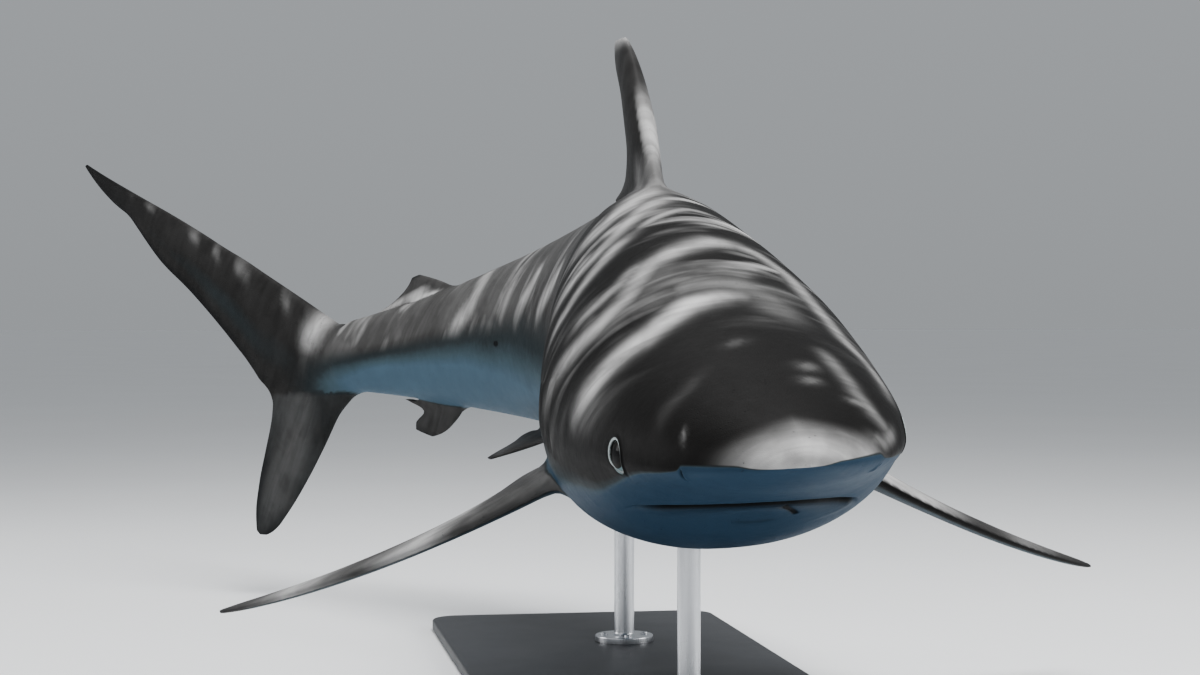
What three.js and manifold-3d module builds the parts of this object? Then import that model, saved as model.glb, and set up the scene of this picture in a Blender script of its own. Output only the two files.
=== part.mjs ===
// A silky shark swimming with its tail swung to its right, as a life-size display model
// held over a flat base by two short rods.
//
// Frame (mm): +Z up, the head points to -Y, +X is the shark's left. The origin is at the
// middle of the base's underside, on the floor.
//
// The animal is described unbent: a station is the distance behind the snout tip, "side" is
// the distance from the middle plane and "up" the height over the spine line. All three are
// in percent of the total length. place() then bends, banks and lifts it onto the stand.

import * as THREE from 'three';
import { mergeVertices } from 'three/addons/utils/BufferGeometryUtils.js';
import Module from 'manifold-3d';

// ---------------------------------------------------------------- driving dimensions
const TOTAL_LENGTH = 2300; // snout tip to tail tip, the tail's upper lobe laid back
const SNOUT_HEIGHT = 320; // snout tip over the floor
const STAND_SETBACK = 800; // middle of the stand behind the snout tip
const BANK = THREE.MathUtils.degToRad(3.66); // right side down
const CLEARANCE = 0.3; // gap between neighbouring pieces

const STAND = {
  length: 1040, width: 400, thickness: 16, cornerRadius: 40,
  rodRadius: 13, flangeRadius: 38, flangeHeight: 8,
  rods: [{ name: 'front', station: 25.5 }, { name: 'rear', station: 45.5 }],
};

const BODY_COLUMNS = 36; // points around the body
const FIN_SIDE_POINTS = 5; // points on each side of a fin's section, between its edges

// Heading (towards the right) and climb of the spine line, in degrees, station by station.
const SPINE = {
  station: [0, 20, 35, 50, 62, 74],
  heading: [0, -3.2, -4.2, 16.9, 35.6, 52.3],
  climb: [0, 4.2, 6.2, 0.6, -0.8, -0.2],
};
const TAIL_ROOT = 74.2; // where the body ends and the flat tail fin begins

// Body sections: half width, rise of the back, drop of the belly, height of the widest line,
// and how square the upper and lower halves are (2 is an ellipse).
const BODY = [
  // station, width, back, belly, widest, upper, lower
  [0.4, 1.24, 0.58, 0.41, -0.18, 1.97, 1.91],
  [1.2, 2.35, 1.16, 0.73, -0.20, 1.97, 1.92],
  [2.5, 3.56, 1.87, 1.14, -0.22, 1.95, 1.93],
  [4.5, 4.79, 2.75, 1.60, -0.14, 1.93, 1.94],
  [8.0, 6.09, 4.04, 2.65, 0.03, 1.88, 1.98],
  [12.0, 6.85, 5.27, 4.50, 0.13, 1.83, 2.20],
  [16.0, 7.29, 6.48, 5.42, 0.17, 1.85, 2.24],
  [20.0, 7.51, 7.61, 5.83, 0.07, 1.87, 2.30],
  [27.0, 7.04, 8.97, 6.12, 0.01, 1.88, 2.18],
  [35.0, 6.19, 9.61, 5.96, 0.04, 1.90, 2.12],
  [43.0, 5.16, 8.55, 5.53, 0.15, 1.90, 2.08],
  [50.0, 4.25, 7.30, 4.88, 0.17, 1.93, 2.09],
  [57.0, 3.36, 5.90, 4.11, 0.18, 1.96, 2.09],
  [64.0, 2.50, 4.47, 3.19, 0.19, 1.98, 2.09],
  [70.0, 1.78, 3.29, 2.31, 0.19, 1.98, 2.09],
  [74.5, 1.34, 2.48, 1.77, 0.19, 1.99, 2.09],
];

// Lengths of the body, from the snout back.
const LENGTHS = [
  { name: 'head', from: 0, to: 16.5 },
  { name: 'gill_region', from: 16.5, to: 28.5 },
  { name: 'trunk_front', from: 28.5, to: 47 },
  { name: 'trunk_rear', from: 47, to: 62 },
  { name: 'tail_stem', from: 62, to: TAIL_ROOT },
];

const EYE = { station: 7.8, up: 0.1, sunk: 8.5, across: 12, along: 17, tall: 21, lean: 25 };
const NOSTRIL = { station: 3.1, side: 3.8, up: -0.65, halfLength: 13, halfWidth: 4 };
// Half of the mouth's arch seen from below, from its front to its corner, and the jaw's back.
const MOUTH = { arch: [[6.3, 0], [6.6, 1.6], [7.6, 3.1], [8.9, 4.3], [10.5, 5.2]], back: [14.5, 4.4],
  roof: -1.0, floor: -9 };
const GILLS = { count: 5, first: 17.7, step: 1.25, top: 2.5, bottom: -1.3, shorten: 0.2,
  width: 2, depth: 7 };

// Fin outlines as ribs from root to tip. Each rib has its leading point, its trailing point,
// half its thickness and the taper of its section (0.5 is an ellipse, 1 a thin trailing edge).
const DORSAL_FIRST = [
  // lead x, lead y, trail x, trail y, half thickness, taper
  [34.0, 7.4, 42.2, 6.6, 0.80, 0.8],
  [33.4, 9.4, 42.4, 8.6, 0.85, 0.8],
  [34.0, 10.3, 46.0, 8.5, 0.72, 0.9],
  [34.9, 11.3, 43.8, 9.8, 0.66, 1.0],
  [36.3, 12.9, 43.0, 11.9, 0.60, 1.0],
  [38.1, 14.8, 43.3, 14.2, 0.53, 1.0],
  [40.0, 16.6, 44.0, 16.2, 0.40, 0.9],
  [41.5, 17.35, 43.7, 17.2, 0.20, 0.7],
];
const DORSAL_SECOND = [
  [64.6, 3.4, 66.9, 3.0, 0.30, 0.8],
  [64.1, 4.4, 67.3, 3.75, 0.30, 0.8],
  [64.7, 4.7, 72.1, 2.65, 0.22, 1.0],
  [65.6, 4.95, 69.6, 3.75, 0.20, 1.0],
  [66.5, 5.2, 68.4, 4.6, 0.16, 1.0],
  [67.2, 5.38, 67.9, 5.2, 0.10, 0.7],
];
const ANAL = [
  [64.4, -2.2, 66.9, -1.9, 0.30, 0.8],
  [63.8, -3.15, 67.2, -2.8, 0.32, 0.8],
  [64.5, -3.75, 69.4, -2.6, 0.24, 1.0],
  [65.2, -4.3, 67.5, -3.5, 0.22, 1.0],
  [66.1, -4.85, 68.4, -4.0, 0.18, 1.0],
  [67.1, -5.1, 68.5, -4.6, 0.10, 0.7],
];
const CAUDAL_UPPER = [
  [74.22, 2.50, 74.22, -1.80, 1.37, 0.5],
  [76.0, 3.70, 76.2, -2.00, 1.00, 0.55],
  [78.0, 5.00, 78.2, -2.00, 0.78, 0.7],
  [80.2, 6.40, 80.0, -1.80, 0.66, 0.9],
  [81.6, 7.30, 82.1, 0.66, 0.58, 1.0],
  [83.0, 8.10, 84.1, 3.00, 0.52, 1.0],
  [85.2, 9.45, 86.4, 5.45, 0.44, 1.0],
  [87.8, 10.95, 88.8, 7.70, 0.36, 1.0],
  [90.2, 12.25, 90.8, 10.35, 0.28, 0.9],
  [91.1, 12.75, 91.3, 11.0, 0.24, 0.9],
  [92.0, 13.25, 92.4, 11.85, 0.20, 0.9],
  [93.4, 14.05, 93.8, 13.25, 0.14, 0.8],
  [94.7, 14.85, 94.9, 14.75, 0.05, 0.6],
];
const CAUDAL_LOWER = [
  [74.0, -0.2, 79.0, 0.2, 0.60, 0.8],
  [73.0, -1.7, 79.9, -1.6, 0.62, 0.8],
  [74.6, -3.35, 80.2, -3.4, 0.52, 1.0],
  [76.0, -5.45, 80.9, -5.6, 0.42, 1.0],
  [77.4, -7.45, 81.6, -7.7, 0.32, 1.0],
  [79.2, -9.7, 82.1, -9.9, 0.22, 0.9],
  [80.6, -11.1, 82.15, -11.0, 0.14, 0.8],
  [81.3, -11.42, 81.9, -11.38, 0.07, 0.6],
];
// Paired fins: x runs back from the fin's origin and y out along its span.
const PECTORAL = [
  [0.8, -2.0, 5.6, -2.0, 0.72, 0.8],
  [0.0, 0.6, 6.1, 0.6, 0.74, 0.8],
  [0.3, 1.7, 9.6, 2.5, 0.61, 0.9],
  [1.0, 3.2, 8.3, 4.2, 0.52, 1.0],
  [2.5, 6.8, 7.7, 7.4, 0.41, 1.0],
  [4.5, 10.9, 8.1, 11.2, 0.32, 1.0],
  [6.8, 15.0, 9.1, 15.2, 0.22, 1.0],
  [8.4, 17.4, 9.9, 17.6, 0.14, 0.9],
  [9.5, 18.6, 10.0, 18.6, 0.07, 0.7],
];
const PELVIC = [
  [0.8, -1.1, 4.0, -1.1, 0.30, 0.8],
  [0.0, 0.4, 4.6, 0.4, 0.34, 0.8],
  [0.6, 1.1, 6.4, 1.1, 0.26, 1.0],
  [1.5, 2.3, 5.4, 2.4, 0.22, 1.0],
  [2.5, 3.5, 4.9, 3.7, 0.15, 0.9],
  [3.4, 4.4, 4.3, 4.45, 0.08, 0.7],
];
// Where each paired fin leaves the body, its droop at root and tip, how far it is swept back
// and the tilt that lifts its leading edge, in degrees.
const PECTORAL_ROOT = { ribs: PECTORAL, station: 21.2, side: 6.1, up: -2.65 };
const PELVIC_ROOT = { ribs: PELVIC, station: 49.0, side: 1.85, up: -4.45 };
const PAIRED_FINS = [
  { ...PECTORAL_ROOT, name: 'pectoral_fin_right', hand: -1, droop: [30.3, 16.4], sweep: -1.2, tilt: 5.9 },
  { ...PECTORAL_ROOT, name: 'pectoral_fin_left', hand: 1, droop: [34.5, 23.3], sweep: 5.0, tilt: 3.2 },
  { ...PELVIC_ROOT, name: 'pelvic_fin_right', hand: -1, droop: [22.6, 19.6], sweep: 12.5, tilt: 3.4 },
  { ...PELVIC_ROOT, name: 'pelvic_fin_left', hand: 1, droop: [22.6, 19.6], sweep: 12.5, tilt: 3.4 },
];
const FIN_STEPS = 2; // rings from one rib to the next
const MID_CHORD_RAKE = 0.45; // how far back a paired fin's middle moves for each step outwards

const SKIN_DARK = 0x3b3837;
const SKIN_PALE = 0xc9cfd2;
const COLOURS = {
  head: SKIN_DARK, lower_jaw: SKIN_PALE, gill_region: SKIN_DARK, trunk_front: SKIN_DARK,
  trunk_rear: SKIN_DARK, tail_stem: SKIN_DARK, eye: 0x0b0d10, fin: 0x33302f,
  stand_base: 0x2b2d30, stand_rod: 0xb9bcc0,
};

// ---------------------------------------------------------------- small tools
const wasm = await Module();
wasm.setup();

/** Smooth curve through given points that never overshoots between them. */
function monotoneCurve(xs, ys) {
  const gaps = xs.slice(1).map((x, i) => x - xs[i]);
  const rises = gaps.map((gap, i) => (ys[i + 1] - ys[i]) / gap);
  const last = gaps.length - 1;
  const endSlope = (g0, g1, r0, r1) => {
    const slope = ((2 * g0 + g1) * r0 - g0 * r1) / (g0 + g1);
    if (slope * r0 <= 0) return 0;
    return r0 * r1 <= 0 && Math.abs(slope) > 3 * Math.abs(r0) ? 3 * r0 : slope;
  };
  const slopes = xs.map((_, i) => {
    if (last === 0) return rises[0];
    if (i === 0) return endSlope(gaps[0], gaps[1], rises[0], rises[1]);
    if (i > last) return endSlope(gaps[last], gaps[last - 1], rises[last], rises[last - 1]);
    const [before, after] = [rises[i - 1], rises[i]];
    if (before * after <= 0) return 0;
    const [a, b] = [2 * gaps[i] + gaps[i - 1], gaps[i] + 2 * gaps[i - 1]];
    return (a + b) / (a / before + b / after);
  });
  return (x) => {
    let i = 0;
    while (i < last && x > xs[i + 1]) i += 1;
    const gap = gaps[i];
    const t = Math.min(Math.max((x - xs[i]) / gap, 0), 1);
    const [t2, t3] = [t * t, t * t * t];
    return (2 * t3 - 3 * t2 + 1) * ys[i] + (t3 - 2 * t2 + t) * gap * slopes[i]
      + (3 * t2 - 2 * t3) * ys[i + 1] + (t3 - t2) * gap * slopes[i + 1];
  };
}

/** Closed solid from points and the triangles between them, turned to face outwards. */
function solidFrom(points, faces) {
  const cross = new THREE.Vector3();
  const volume = faces.reduce((sum, [a, b, c]) =>
    sum + cross.crossVectors(points[b], points[c]).dot(points[a]), 0);
  const outward = volume < 0 ? faces.map(([a, b, c]) => [a, c, b]) : faces;
  const mesh = new wasm.Mesh({
    numProp: 3,
    vertProperties: new Float32Array(points.flatMap((p) => [p.x, p.y, p.z])),
    triVerts: new Uint32Array(outward.flat()),
  });
  return new wasm.Manifold(mesh);
}

/** Closed solid from a three.js geometry, moved by a matrix. */
function solidOf(geometry, matrix = new THREE.Matrix4()) {
  const bare = geometry.index ? geometry.clone() : mergeVertices(geometry);
  bare.deleteAttribute('normal');
  bare.deleteAttribute('uv');
  bare.applyMatrix4(matrix);
  const merged = mergeVertices(bare, 1e-3);
  const at = merged.getAttribute('position');
  const points = Array.from({ length: at.count }, (_, i) => new THREE.Vector3().fromBufferAttribute(at, i));
  const index = Array.from(merged.index.array);
  const faces = [];
  for (let i = 0; i < index.length; i += 3) {
    const face = index.slice(i, i + 3);
    if (new Set(face).size === 3) faces.push(face);
  }
  return solidFrom(points, faces);
}

/** Named mesh of a solid, flat shaded. */
function meshOf(name, solid, colour, roughness, metalness) {
  const data = solid.getMesh();
  const geometry = new THREE.BufferGeometry();
  geometry.setAttribute('position', new THREE.BufferAttribute(new Float32Array(data.vertProperties), 3));
  geometry.setIndex(new THREE.BufferAttribute(new Uint32Array(data.triVerts), 1));
  geometry.computeVertexNormals();
  const material = new THREE.MeshStandardMaterial({ color: colour, roughness, metalness });
  const mesh = new THREE.Mesh(geometry, material);
  mesh.name = name;
  return mesh;
}

// ---------------------------------------------------------------- spine line
const UNIT = TOTAL_LENGTH / 100; // one percent of the length
const SPINE_STEP = 0.25;

const headingAt = monotoneCurve(SPINE.station, SPINE.heading);
const climbAt = monotoneCurve(SPINE.station, SPINE.climb);

/** Directions of the spine line at a station: back along it, to the left and up. */
function directionsAt(station) {
  const held = Math.min(station, TAIL_ROOT);
  const heading = THREE.MathUtils.degToRad(headingAt(held));
  const climb = THREE.MathUtils.degToRad(climbAt(held));
  const [sh, ch, sc, cc] = [Math.sin(heading), Math.cos(heading), Math.sin(climb), Math.cos(climb)];
  return {
    back: new THREE.Vector3(-sh * cc, ch * cc, sc),
    left: new THREE.Vector3(ch, sh, 0),
    up: new THREE.Vector3(sh * sc, -ch * sc, cc),
  };
}

const spinePoints = [new THREE.Vector3()];
for (let station = SPINE_STEP; station <= 100; station += SPINE_STEP) {
  const { back } = directionsAt(station - SPINE_STEP / 2);
  spinePoints.push(spinePoints.at(-1).clone().addScaledVector(back, SPINE_STEP));
}

function spineAt(station) {
  const place = Math.max(station, 0) / SPINE_STEP;
  const i = Math.min(Math.floor(place), spinePoints.length - 2);
  return spinePoints[i].clone().lerp(spinePoints[i + 1], place - i);
}

const stance = new THREE.Matrix4()
  .makeTranslation(0, -STAND_SETBACK, SNOUT_HEIGHT)
  .multiply(new THREE.Matrix4().makeRotationY(-BANK));

/** Point of the posed animal, in mm, from its unbent place in percent of the length. */
function place(station, side, up) {
  const { left, up: rise } = directionsAt(station);
  return spineAt(station).addScaledVector(left, side).addScaledVector(rise, up)
    .multiplyScalar(UNIT).applyMatrix4(stance);
}

/** Matrix from a station's own axes (left, back, up, in mm) to the posed animal. */
function frameAt(station, side = 0, up = 0) {
  const { left, back, up: rise } = directionsAt(station);
  const turn = new THREE.Matrix4().makeBasis(left, back, rise);
  const spot = place(station, side, up);
  return new THREE.Matrix4().makeTranslation(spot.x, spot.y, spot.z)
    .multiply(new THREE.Matrix4().makeRotationY(-BANK)).multiply(turn);
}

// ---------------------------------------------------------------- body
const SNOUT_TIP_LEVEL = -0.18;
const stationRoots = BODY.map((row) => Math.sqrt(row[0]));
const sized = [1, 2, 3].map((k) => monotoneCurve([0, ...stationRoots], [0, ...BODY.map((row) => row[k])]));
const widestAt = monotoneCurve([0, ...stationRoots], [SNOUT_TIP_LEVEL, ...BODY.map((row) => row[4])]);
const squareness = [5, 6].map((k) => monotoneCurve(stationRoots, BODY.map((row) => row[k])));

/** Point of the body's section at an angle (0 is left, a quarter turn is up), grown by mm. */
function bodySection(station, angle, grow = 0) {
  const root = Math.sqrt(station);
  const extra = grow / UNIT;
  const [width, back, belly] = sized.map((size) => size(root) + extra);
  const widest = widestAt(root);
  const [c, s] = [Math.cos(angle), Math.sin(angle)];
  const power = 2 / squareness[s >= 0 ? 0 : 1](Math.max(root, stationRoots[0]));
  const reach = s >= 0 ? back - widest : belly + widest;
  return { side: width * Math.sign(c) * Math.abs(c) ** power,
    up: widest + Math.sign(s) * reach * Math.abs(s) ** power };
}

/** The whole body from the snout to a station, as one closed tube. */
function bodySolid(end, grow = 0) {
  const stations = [0.08, 0.3, 0.7, 1.3, 2.1, 3.1, 4.3, 5.6, 7, 8.5, 10, 11.5, 13, 14.75, 16.5, 18.5, 20.5];
  for (let s = 23; s < end - 1.5; s += 3.2) stations.push(s);
  stations.push(end);
  const points = [];
  for (const station of stations) {
    for (let i = 0; i < BODY_COLUMNS; i += 1) {
      const { side, up } = bodySection(station, (2 * Math.PI * i) / BODY_COLUMNS, grow);
      points.push(place(station, side, up));
    }
  }
  const snout = points.push(place(-grow / UNIT, 0, SNOUT_TIP_LEVEL)) - 1;
  const tail = points.push(place(end, 0, 0)) - 1;
  const lastRow = (stations.length - 1) * BODY_COLUMNS;
  const faces = [];
  for (let i = 0; i < BODY_COLUMNS; i += 1) {
    const next = (i + 1) % BODY_COLUMNS;
    faces.push([snout, i, next], [tail, lastRow + next, lastRow + i]);
    for (let row = 0; row < lastRow; row += BODY_COLUMNS) {
      const [a, b, c, d] = [row + i, row + next, row + BODY_COLUMNS + next, row + BODY_COLUMNS + i];
      faces.push([a, d, c], [a, c, b]);
    }
  }
  return solidFrom(points, faces);
}

/** The stretch of a solid between two stations, with half a clearance at each cut. */
function between(solid, from, to) {
  let piece = solid;
  for (const [station, sense] of [[from, 1], [to, -1]]) {
    if (station <= 0 || station >= TAIL_ROOT) continue;
    const frame = frameAt(station);
    const normal = new THREE.Vector3().setFromMatrixColumn(frame, 1).multiplyScalar(sense);
    const spot = new THREE.Vector3().setFromMatrixPosition(frame);
    piece = piece.trimByPlane(normal.toArray(), spot.dot(normal) + CLEARANCE / 2);
  }
  return piece;
}

// ---------------------------------------------------------------- head and gills
/** Eyeball, grown by mm. */
function eyeSolid(hand, grow = 0) {
  const { side } = bodySection(EYE.station, 0);
  const frame = frameAt(EYE.station, hand * (side - EYE.sunk / UNIT), EYE.up)
    .multiply(new THREE.Matrix4().makeRotationX(THREE.MathUtils.degToRad(-EYE.lean)))
    .scale(new THREE.Vector3(EYE.across + grow, EYE.along + grow, EYE.tall + grow));
  return solidOf(new THREE.SphereGeometry(1, 14, 9), frame);
}

/** Short slit under the snout that a nostril opens into. */
function nostrilSolid(hand) {
  const frame = frameAt(NOSTRIL.station, hand * NOSTRIL.side, NOSTRIL.up)
    .multiply(new THREE.Matrix4().makeRotationZ(hand * THREE.MathUtils.degToRad(40)))
    .scale(new THREE.Vector3(NOSTRIL.halfWidth, NOSTRIL.halfLength, NOSTRIL.halfWidth));
  return solidOf(new THREE.SphereGeometry(1, 8, 6), frame);
}

/** Upright block whose plan is the mouth's arch closed behind the jaw, shrunk by mm. */
function mouthBlock(shrink) {
  const inset = shrink / UNIT;
  const [backStation, backSide] = MOUTH.back;
  const half = [...MOUTH.arch, [backStation - 2 * inset, backSide]]
    .map(([station, side]) => [Math.max(side - inset, 0), station + inset - EYE.station]);
  const mirrored = half.slice(1).reverse().map(([side, along]) => [-side, along]);
  const plan = new THREE.Shape([...half, ...mirrored].map(([side, along]) =>
    new THREE.Vector2(side * UNIT, along * UNIT)));
  const depth = (MOUTH.roof - MOUTH.floor) * UNIT;
  const geometry = new THREE.ExtrudeGeometry(plan, { depth, bevelEnabled: false });
  const frame = frameAt(EYE.station)
    .multiply(new THREE.Matrix4().makeTranslation(0, 0, MOUTH.floor * UNIT - shrink));
  return solidOf(geometry, frame);
}

/** Thin upright slabs at the gill slits, both sides, reaching in to the slits' depth. */
function gillSlits() {
  const core = bodySolid(30, -GILLS.depth);
  const slabs = [];
  for (const hand of [-1, 1]) {
    for (let i = 0; i < GILLS.count; i += 1) {
      const top = GILLS.top - i * GILLS.shorten;
      const bottom = GILLS.bottom + i * GILLS.shorten;
      const frame = frameAt(GILLS.first + i * GILLS.step, hand * 7, (top + bottom) / 2)
        .multiply(new THREE.Matrix4().makeRotationX(THREE.MathUtils.degToRad(-8)));
      const slab = new THREE.BoxGeometry(6 * UNIT, GILLS.width, (top - bottom) * UNIT);
      slabs.push(solidOf(slab, frame).subtract(core));
    }
  }
  return slabs.reduce((all, slab) => all.add(slab));
}

// ---------------------------------------------------------------- fins
/** Ribs spaced more closely, by smooth curves through the given ones. */
function finerRibs(ribs, steps) {
  const order = ribs.map((_, i) => i);
  const columns = ribs[0].map((_, k) => monotoneCurve(order, ribs.map((rib) => rib[k])));
  const count = (ribs.length - 1) * steps;
  return Array.from({ length: count + 1 }, (_, i) => columns.map((column) => column(i / steps)));
}

/**
 * Closed fin lofted over its ribs. spot(x, y, t) gives a point of the posed animal from the
 * place in the fin's plane and the distance t to one side of it.
 */
function finSolid(ribs, spot, grow = 0) {
  const extra = grow / UNIT;
  const perRing = 2 * FIN_SIDE_POINTS + 2;
  const thinnest = 0.35 / UNIT;
  const points = [];
  const rings = finerRibs(ribs, FIN_STEPS);
  for (const [leadX, leadY, trailX, trailY, half, taper] of rings) {
    const peak = 0.5 / (0.5 + taper);
    const most = Math.sqrt(peak) * (1 - peak) ** taper;
    const chord = Math.hypot(trailX - leadX, trailY - leadY) || 1;
    const [dx, dy] = [((trailX - leadX) / chord) * extra, ((trailY - leadY) / chord) * extra];
    const along = (c, t) => spot(leadX - dx + (trailX + 2 * dx - leadX) * c,
      leadY - dy + (trailY + 2 * dy - leadY) * c, t);
    const thickness = (c) => Math.max((half / most) * Math.sqrt(c) * (1 - c) ** taper, thinnest) + extra;
    const chords = Array.from({ length: FIN_SIDE_POINTS }, (_, i) =>
      0.5 - 0.5 * Math.cos((Math.PI * (i + 1)) / (FIN_SIDE_POINTS + 1)));
    points.push(along(0, 0));
    for (const c of chords) points.push(along(c, thickness(c)));
    points.push(along(1, 0));
    for (const c of [...chords].reverse()) points.push(along(c, -thickness(c)));
  }
  const faces = [];
  const lastRing = (rings.length - 1) * perRing;
  for (let ring = 0; ring < lastRing; ring += perRing) {
    for (let i = 0; i < perRing; i += 1) {
      const next = (i + 1) % perRing;
      const [a, b, c, d] = [ring + i, ring + next, ring + perRing + next, ring + perRing + i];
      faces.push([a, b, c], [a, c, d]);
    }
  }
  for (let i = 0; i < FIN_SIDE_POINTS + 1; i += 1) {
    const [a, b] = [i, i + 1];
    const [c, d] = [(perRing - i - 1) % perRing, (perRing - i) % perRing];
    for (const [start, flip] of [[0, true], [lastRing, false]]) {
      const corners = [...new Set([a, b, c, d])].map((k) => start + k);
      for (let k = 1; k < corners.length - 1; k += 1) {
        const face = [corners[0], corners[k], corners[k + 1]];
        faces.push(flip ? face.reverse() : face);
      }
    }
  }
  return solidFrom(points, faces);
}

/** Fin in the animal's middle plane. */
function middleFin(ribs, grow = 0) {
  return finSolid(ribs, (x, y, t) => place(x, t, y), grow);
}

/** Fin of a pair: swept back about its root and drooping less and less towards its tip. */
function pairedFin({ hand, ribs, station, side, up, droop, sweep, tilt }) {
  const span = ribs.at(-1)[1];
  const [rootDroop, tipDroop] = droop.map(THREE.MathUtils.degToRad);
  const turn = THREE.MathUtils.degToRad(sweep);
  const slope = Math.tan(THREE.MathUtils.degToRad(tilt));
  const pivot = ribs[1][2] / 2;
  const droopAt = (y) => rootDroop + ((tipDroop - rootDroop) * Math.min(Math.max(y, 0), span)) / span;
  const path = [[0, 0]];
  const step = 0.25;
  for (let y = step; y <= span + 1; y += step) {
    const angle = droopAt(y - step / 2);
    const [out, down] = path.at(-1);
    path.push([out + step * Math.cos(angle), down + step * Math.sin(angle)]);
  }
  const pathAt = (y) => {
    if (y <= 0) return [y * Math.cos(rootDroop), y * Math.sin(rootDroop)];
    const i = Math.min(Math.floor(y / step), path.length - 2);
    return [0, 1].map((k) => path[i][k] + (path[i + 1][k] - path[i][k]) * (y / step - i));
  };
  return finSolid(ribs, (x, y, t) => {
    const sweptX = pivot + (x - pivot) * Math.cos(turn) + y * Math.sin(turn);
    const sweptY = y * Math.cos(turn) - (x - pivot) * Math.sin(turn);
    const [out, down] = pathAt(sweptY);
    const angle = droopAt(sweptY);
    const rise = t + (pivot + MID_CHORD_RAKE * Math.max(sweptY, 0) - sweptX) * slope;
    return place(station + sweptX, hand * (side + out + rise * Math.sin(angle)),
      up - down + rise * Math.cos(angle));
  });
}

// ---------------------------------------------------------------- stand
function standBase() {
  const { length, width, thickness, cornerRadius } = STAND;
  const [x, y] = [width / 2, length / 2];
  const plan = new THREE.Shape();
  plan.moveTo(-x + cornerRadius, -y);
  plan.lineTo(x - cornerRadius, -y);
  plan.absarc(x - cornerRadius, -y + cornerRadius, cornerRadius, -Math.PI / 2, 0);
  plan.absarc(x - cornerRadius, y - cornerRadius, cornerRadius, 0, Math.PI / 2);
  plan.absarc(-x + cornerRadius, y - cornerRadius, cornerRadius, Math.PI / 2, Math.PI);
  plan.absarc(-x + cornerRadius, -y + cornerRadius, cornerRadius, Math.PI, 1.5 * Math.PI);
  return new THREE.ExtrudeGeometry(plan, { depth: thickness, bevelEnabled: false, curveSegments: 8 });
}

/** Upright rod on a round flange, its top shaped to the belly. */
function standRod(station, bodyGrown) {
  const spot = place(station, 0, 0);
  const { rodRadius, flangeRadius, flangeHeight, thickness } = STAND;
  const foot = thickness + CLEARANCE;
  const profile = [[0, foot], [flangeRadius, foot], [flangeRadius, foot + flangeHeight - 2],
    [flangeRadius - 2, foot + flangeHeight], [rodRadius, foot + flangeHeight], [rodRadius, spot.z],
    [0, spot.z]].map(([r, z]) => new THREE.Vector2(r, z));
  const upright = new THREE.Matrix4().makeTranslation(spot.x, spot.y, 0)
    .multiply(new THREE.Matrix4().makeRotationX(Math.PI / 2));
  return solidOf(new THREE.LatheGeometry(profile, 24), upright).subtract(bodyGrown);
}

// ---------------------------------------------------------------- the model
const shark = new THREE.Group();

const body = bodySolid(TAIL_ROOT);
const bodyGrown = bodySolid(TAIL_ROOT, CLEARANCE);
const add = (name, solid, colour, roughness = 0.45, metalness = 0) =>
  shark.add(meshOf(name, solid, colour, roughness, metalness));

const slits = gillSlits();
for (const { name, from, to } of LENGTHS) {
  let piece = between(body, from, to);
  if (name === 'gill_region') piece = piece.subtract(slits);
  if (name === 'head') {
    add('lower_jaw', piece.intersect(mouthBlock(CLEARANCE)), COLOURS.lower_jaw);
    piece = piece.subtract(mouthBlock(0));
    for (const hand of [-1, 1]) {
      piece = piece.subtract(eyeSolid(hand, CLEARANCE)).subtract(nostrilSolid(hand));
    }
  }
  add(name, piece, COLOURS[name]);
}
for (const [name, hand] of [['eye_right', -1], ['eye_left', 1]]) {
  add(name, eyeSolid(hand), COLOURS.eye, 0.08);
}

add('dorsal_fin_first', middleFin(DORSAL_FIRST).subtract(bodyGrown), COLOURS.fin);
add('dorsal_fin_second', middleFin(DORSAL_SECOND).subtract(bodyGrown), COLOURS.fin);
add('anal_fin', middleFin(ANAL).subtract(bodyGrown), COLOURS.fin);
for (const fin of PAIRED_FINS) add(fin.name, pairedFin(fin).subtract(bodyGrown), COLOURS.fin);

const upperLobe = middleFin(CAUDAL_UPPER);
const upperLobeGrown = middleFin(CAUDAL_UPPER, CLEARANCE);
add('caudal_fin_upper_lobe', upperLobe, COLOURS.fin);
add('caudal_fin_lower_lobe',
  middleFin(CAUDAL_LOWER).subtract(upperLobeGrown).subtract(bodyGrown), COLOURS.fin);

add('stand_base', solidOf(standBase()), COLOURS.stand_base, 0.6);
for (const { name, station } of STAND.rods) {
  add(`stand_rod_${name}`, standRod(station, bodyGrown), COLOURS.stand_rod, 0.3, 0.9);
}

export default shark;
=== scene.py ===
"""Looks of a life-size silky shark, swimming with its tail swung to its right, on a stand.

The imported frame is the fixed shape: +Z is up, the head points to -Y and +X is the shark's left.
The animal is described unbent, as the part's source does: a station is the distance behind the
snout tip, side the distance from the middle plane and up the height over the spine line, all in
percent of the total length. Spine.place() bends it and sets it on the stand, in metres.
"""
import logging
import math
from dataclasses import dataclass, field
from enum import Enum
from typing import Any, Callable, Sequence

import bmesh
import bpy
import numpy as np
from bmesh.types import BMesh, BMVert
from bpy.types import Material, Mesh, NodeSocket, Object
from mathutils import Matrix, Vector


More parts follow.
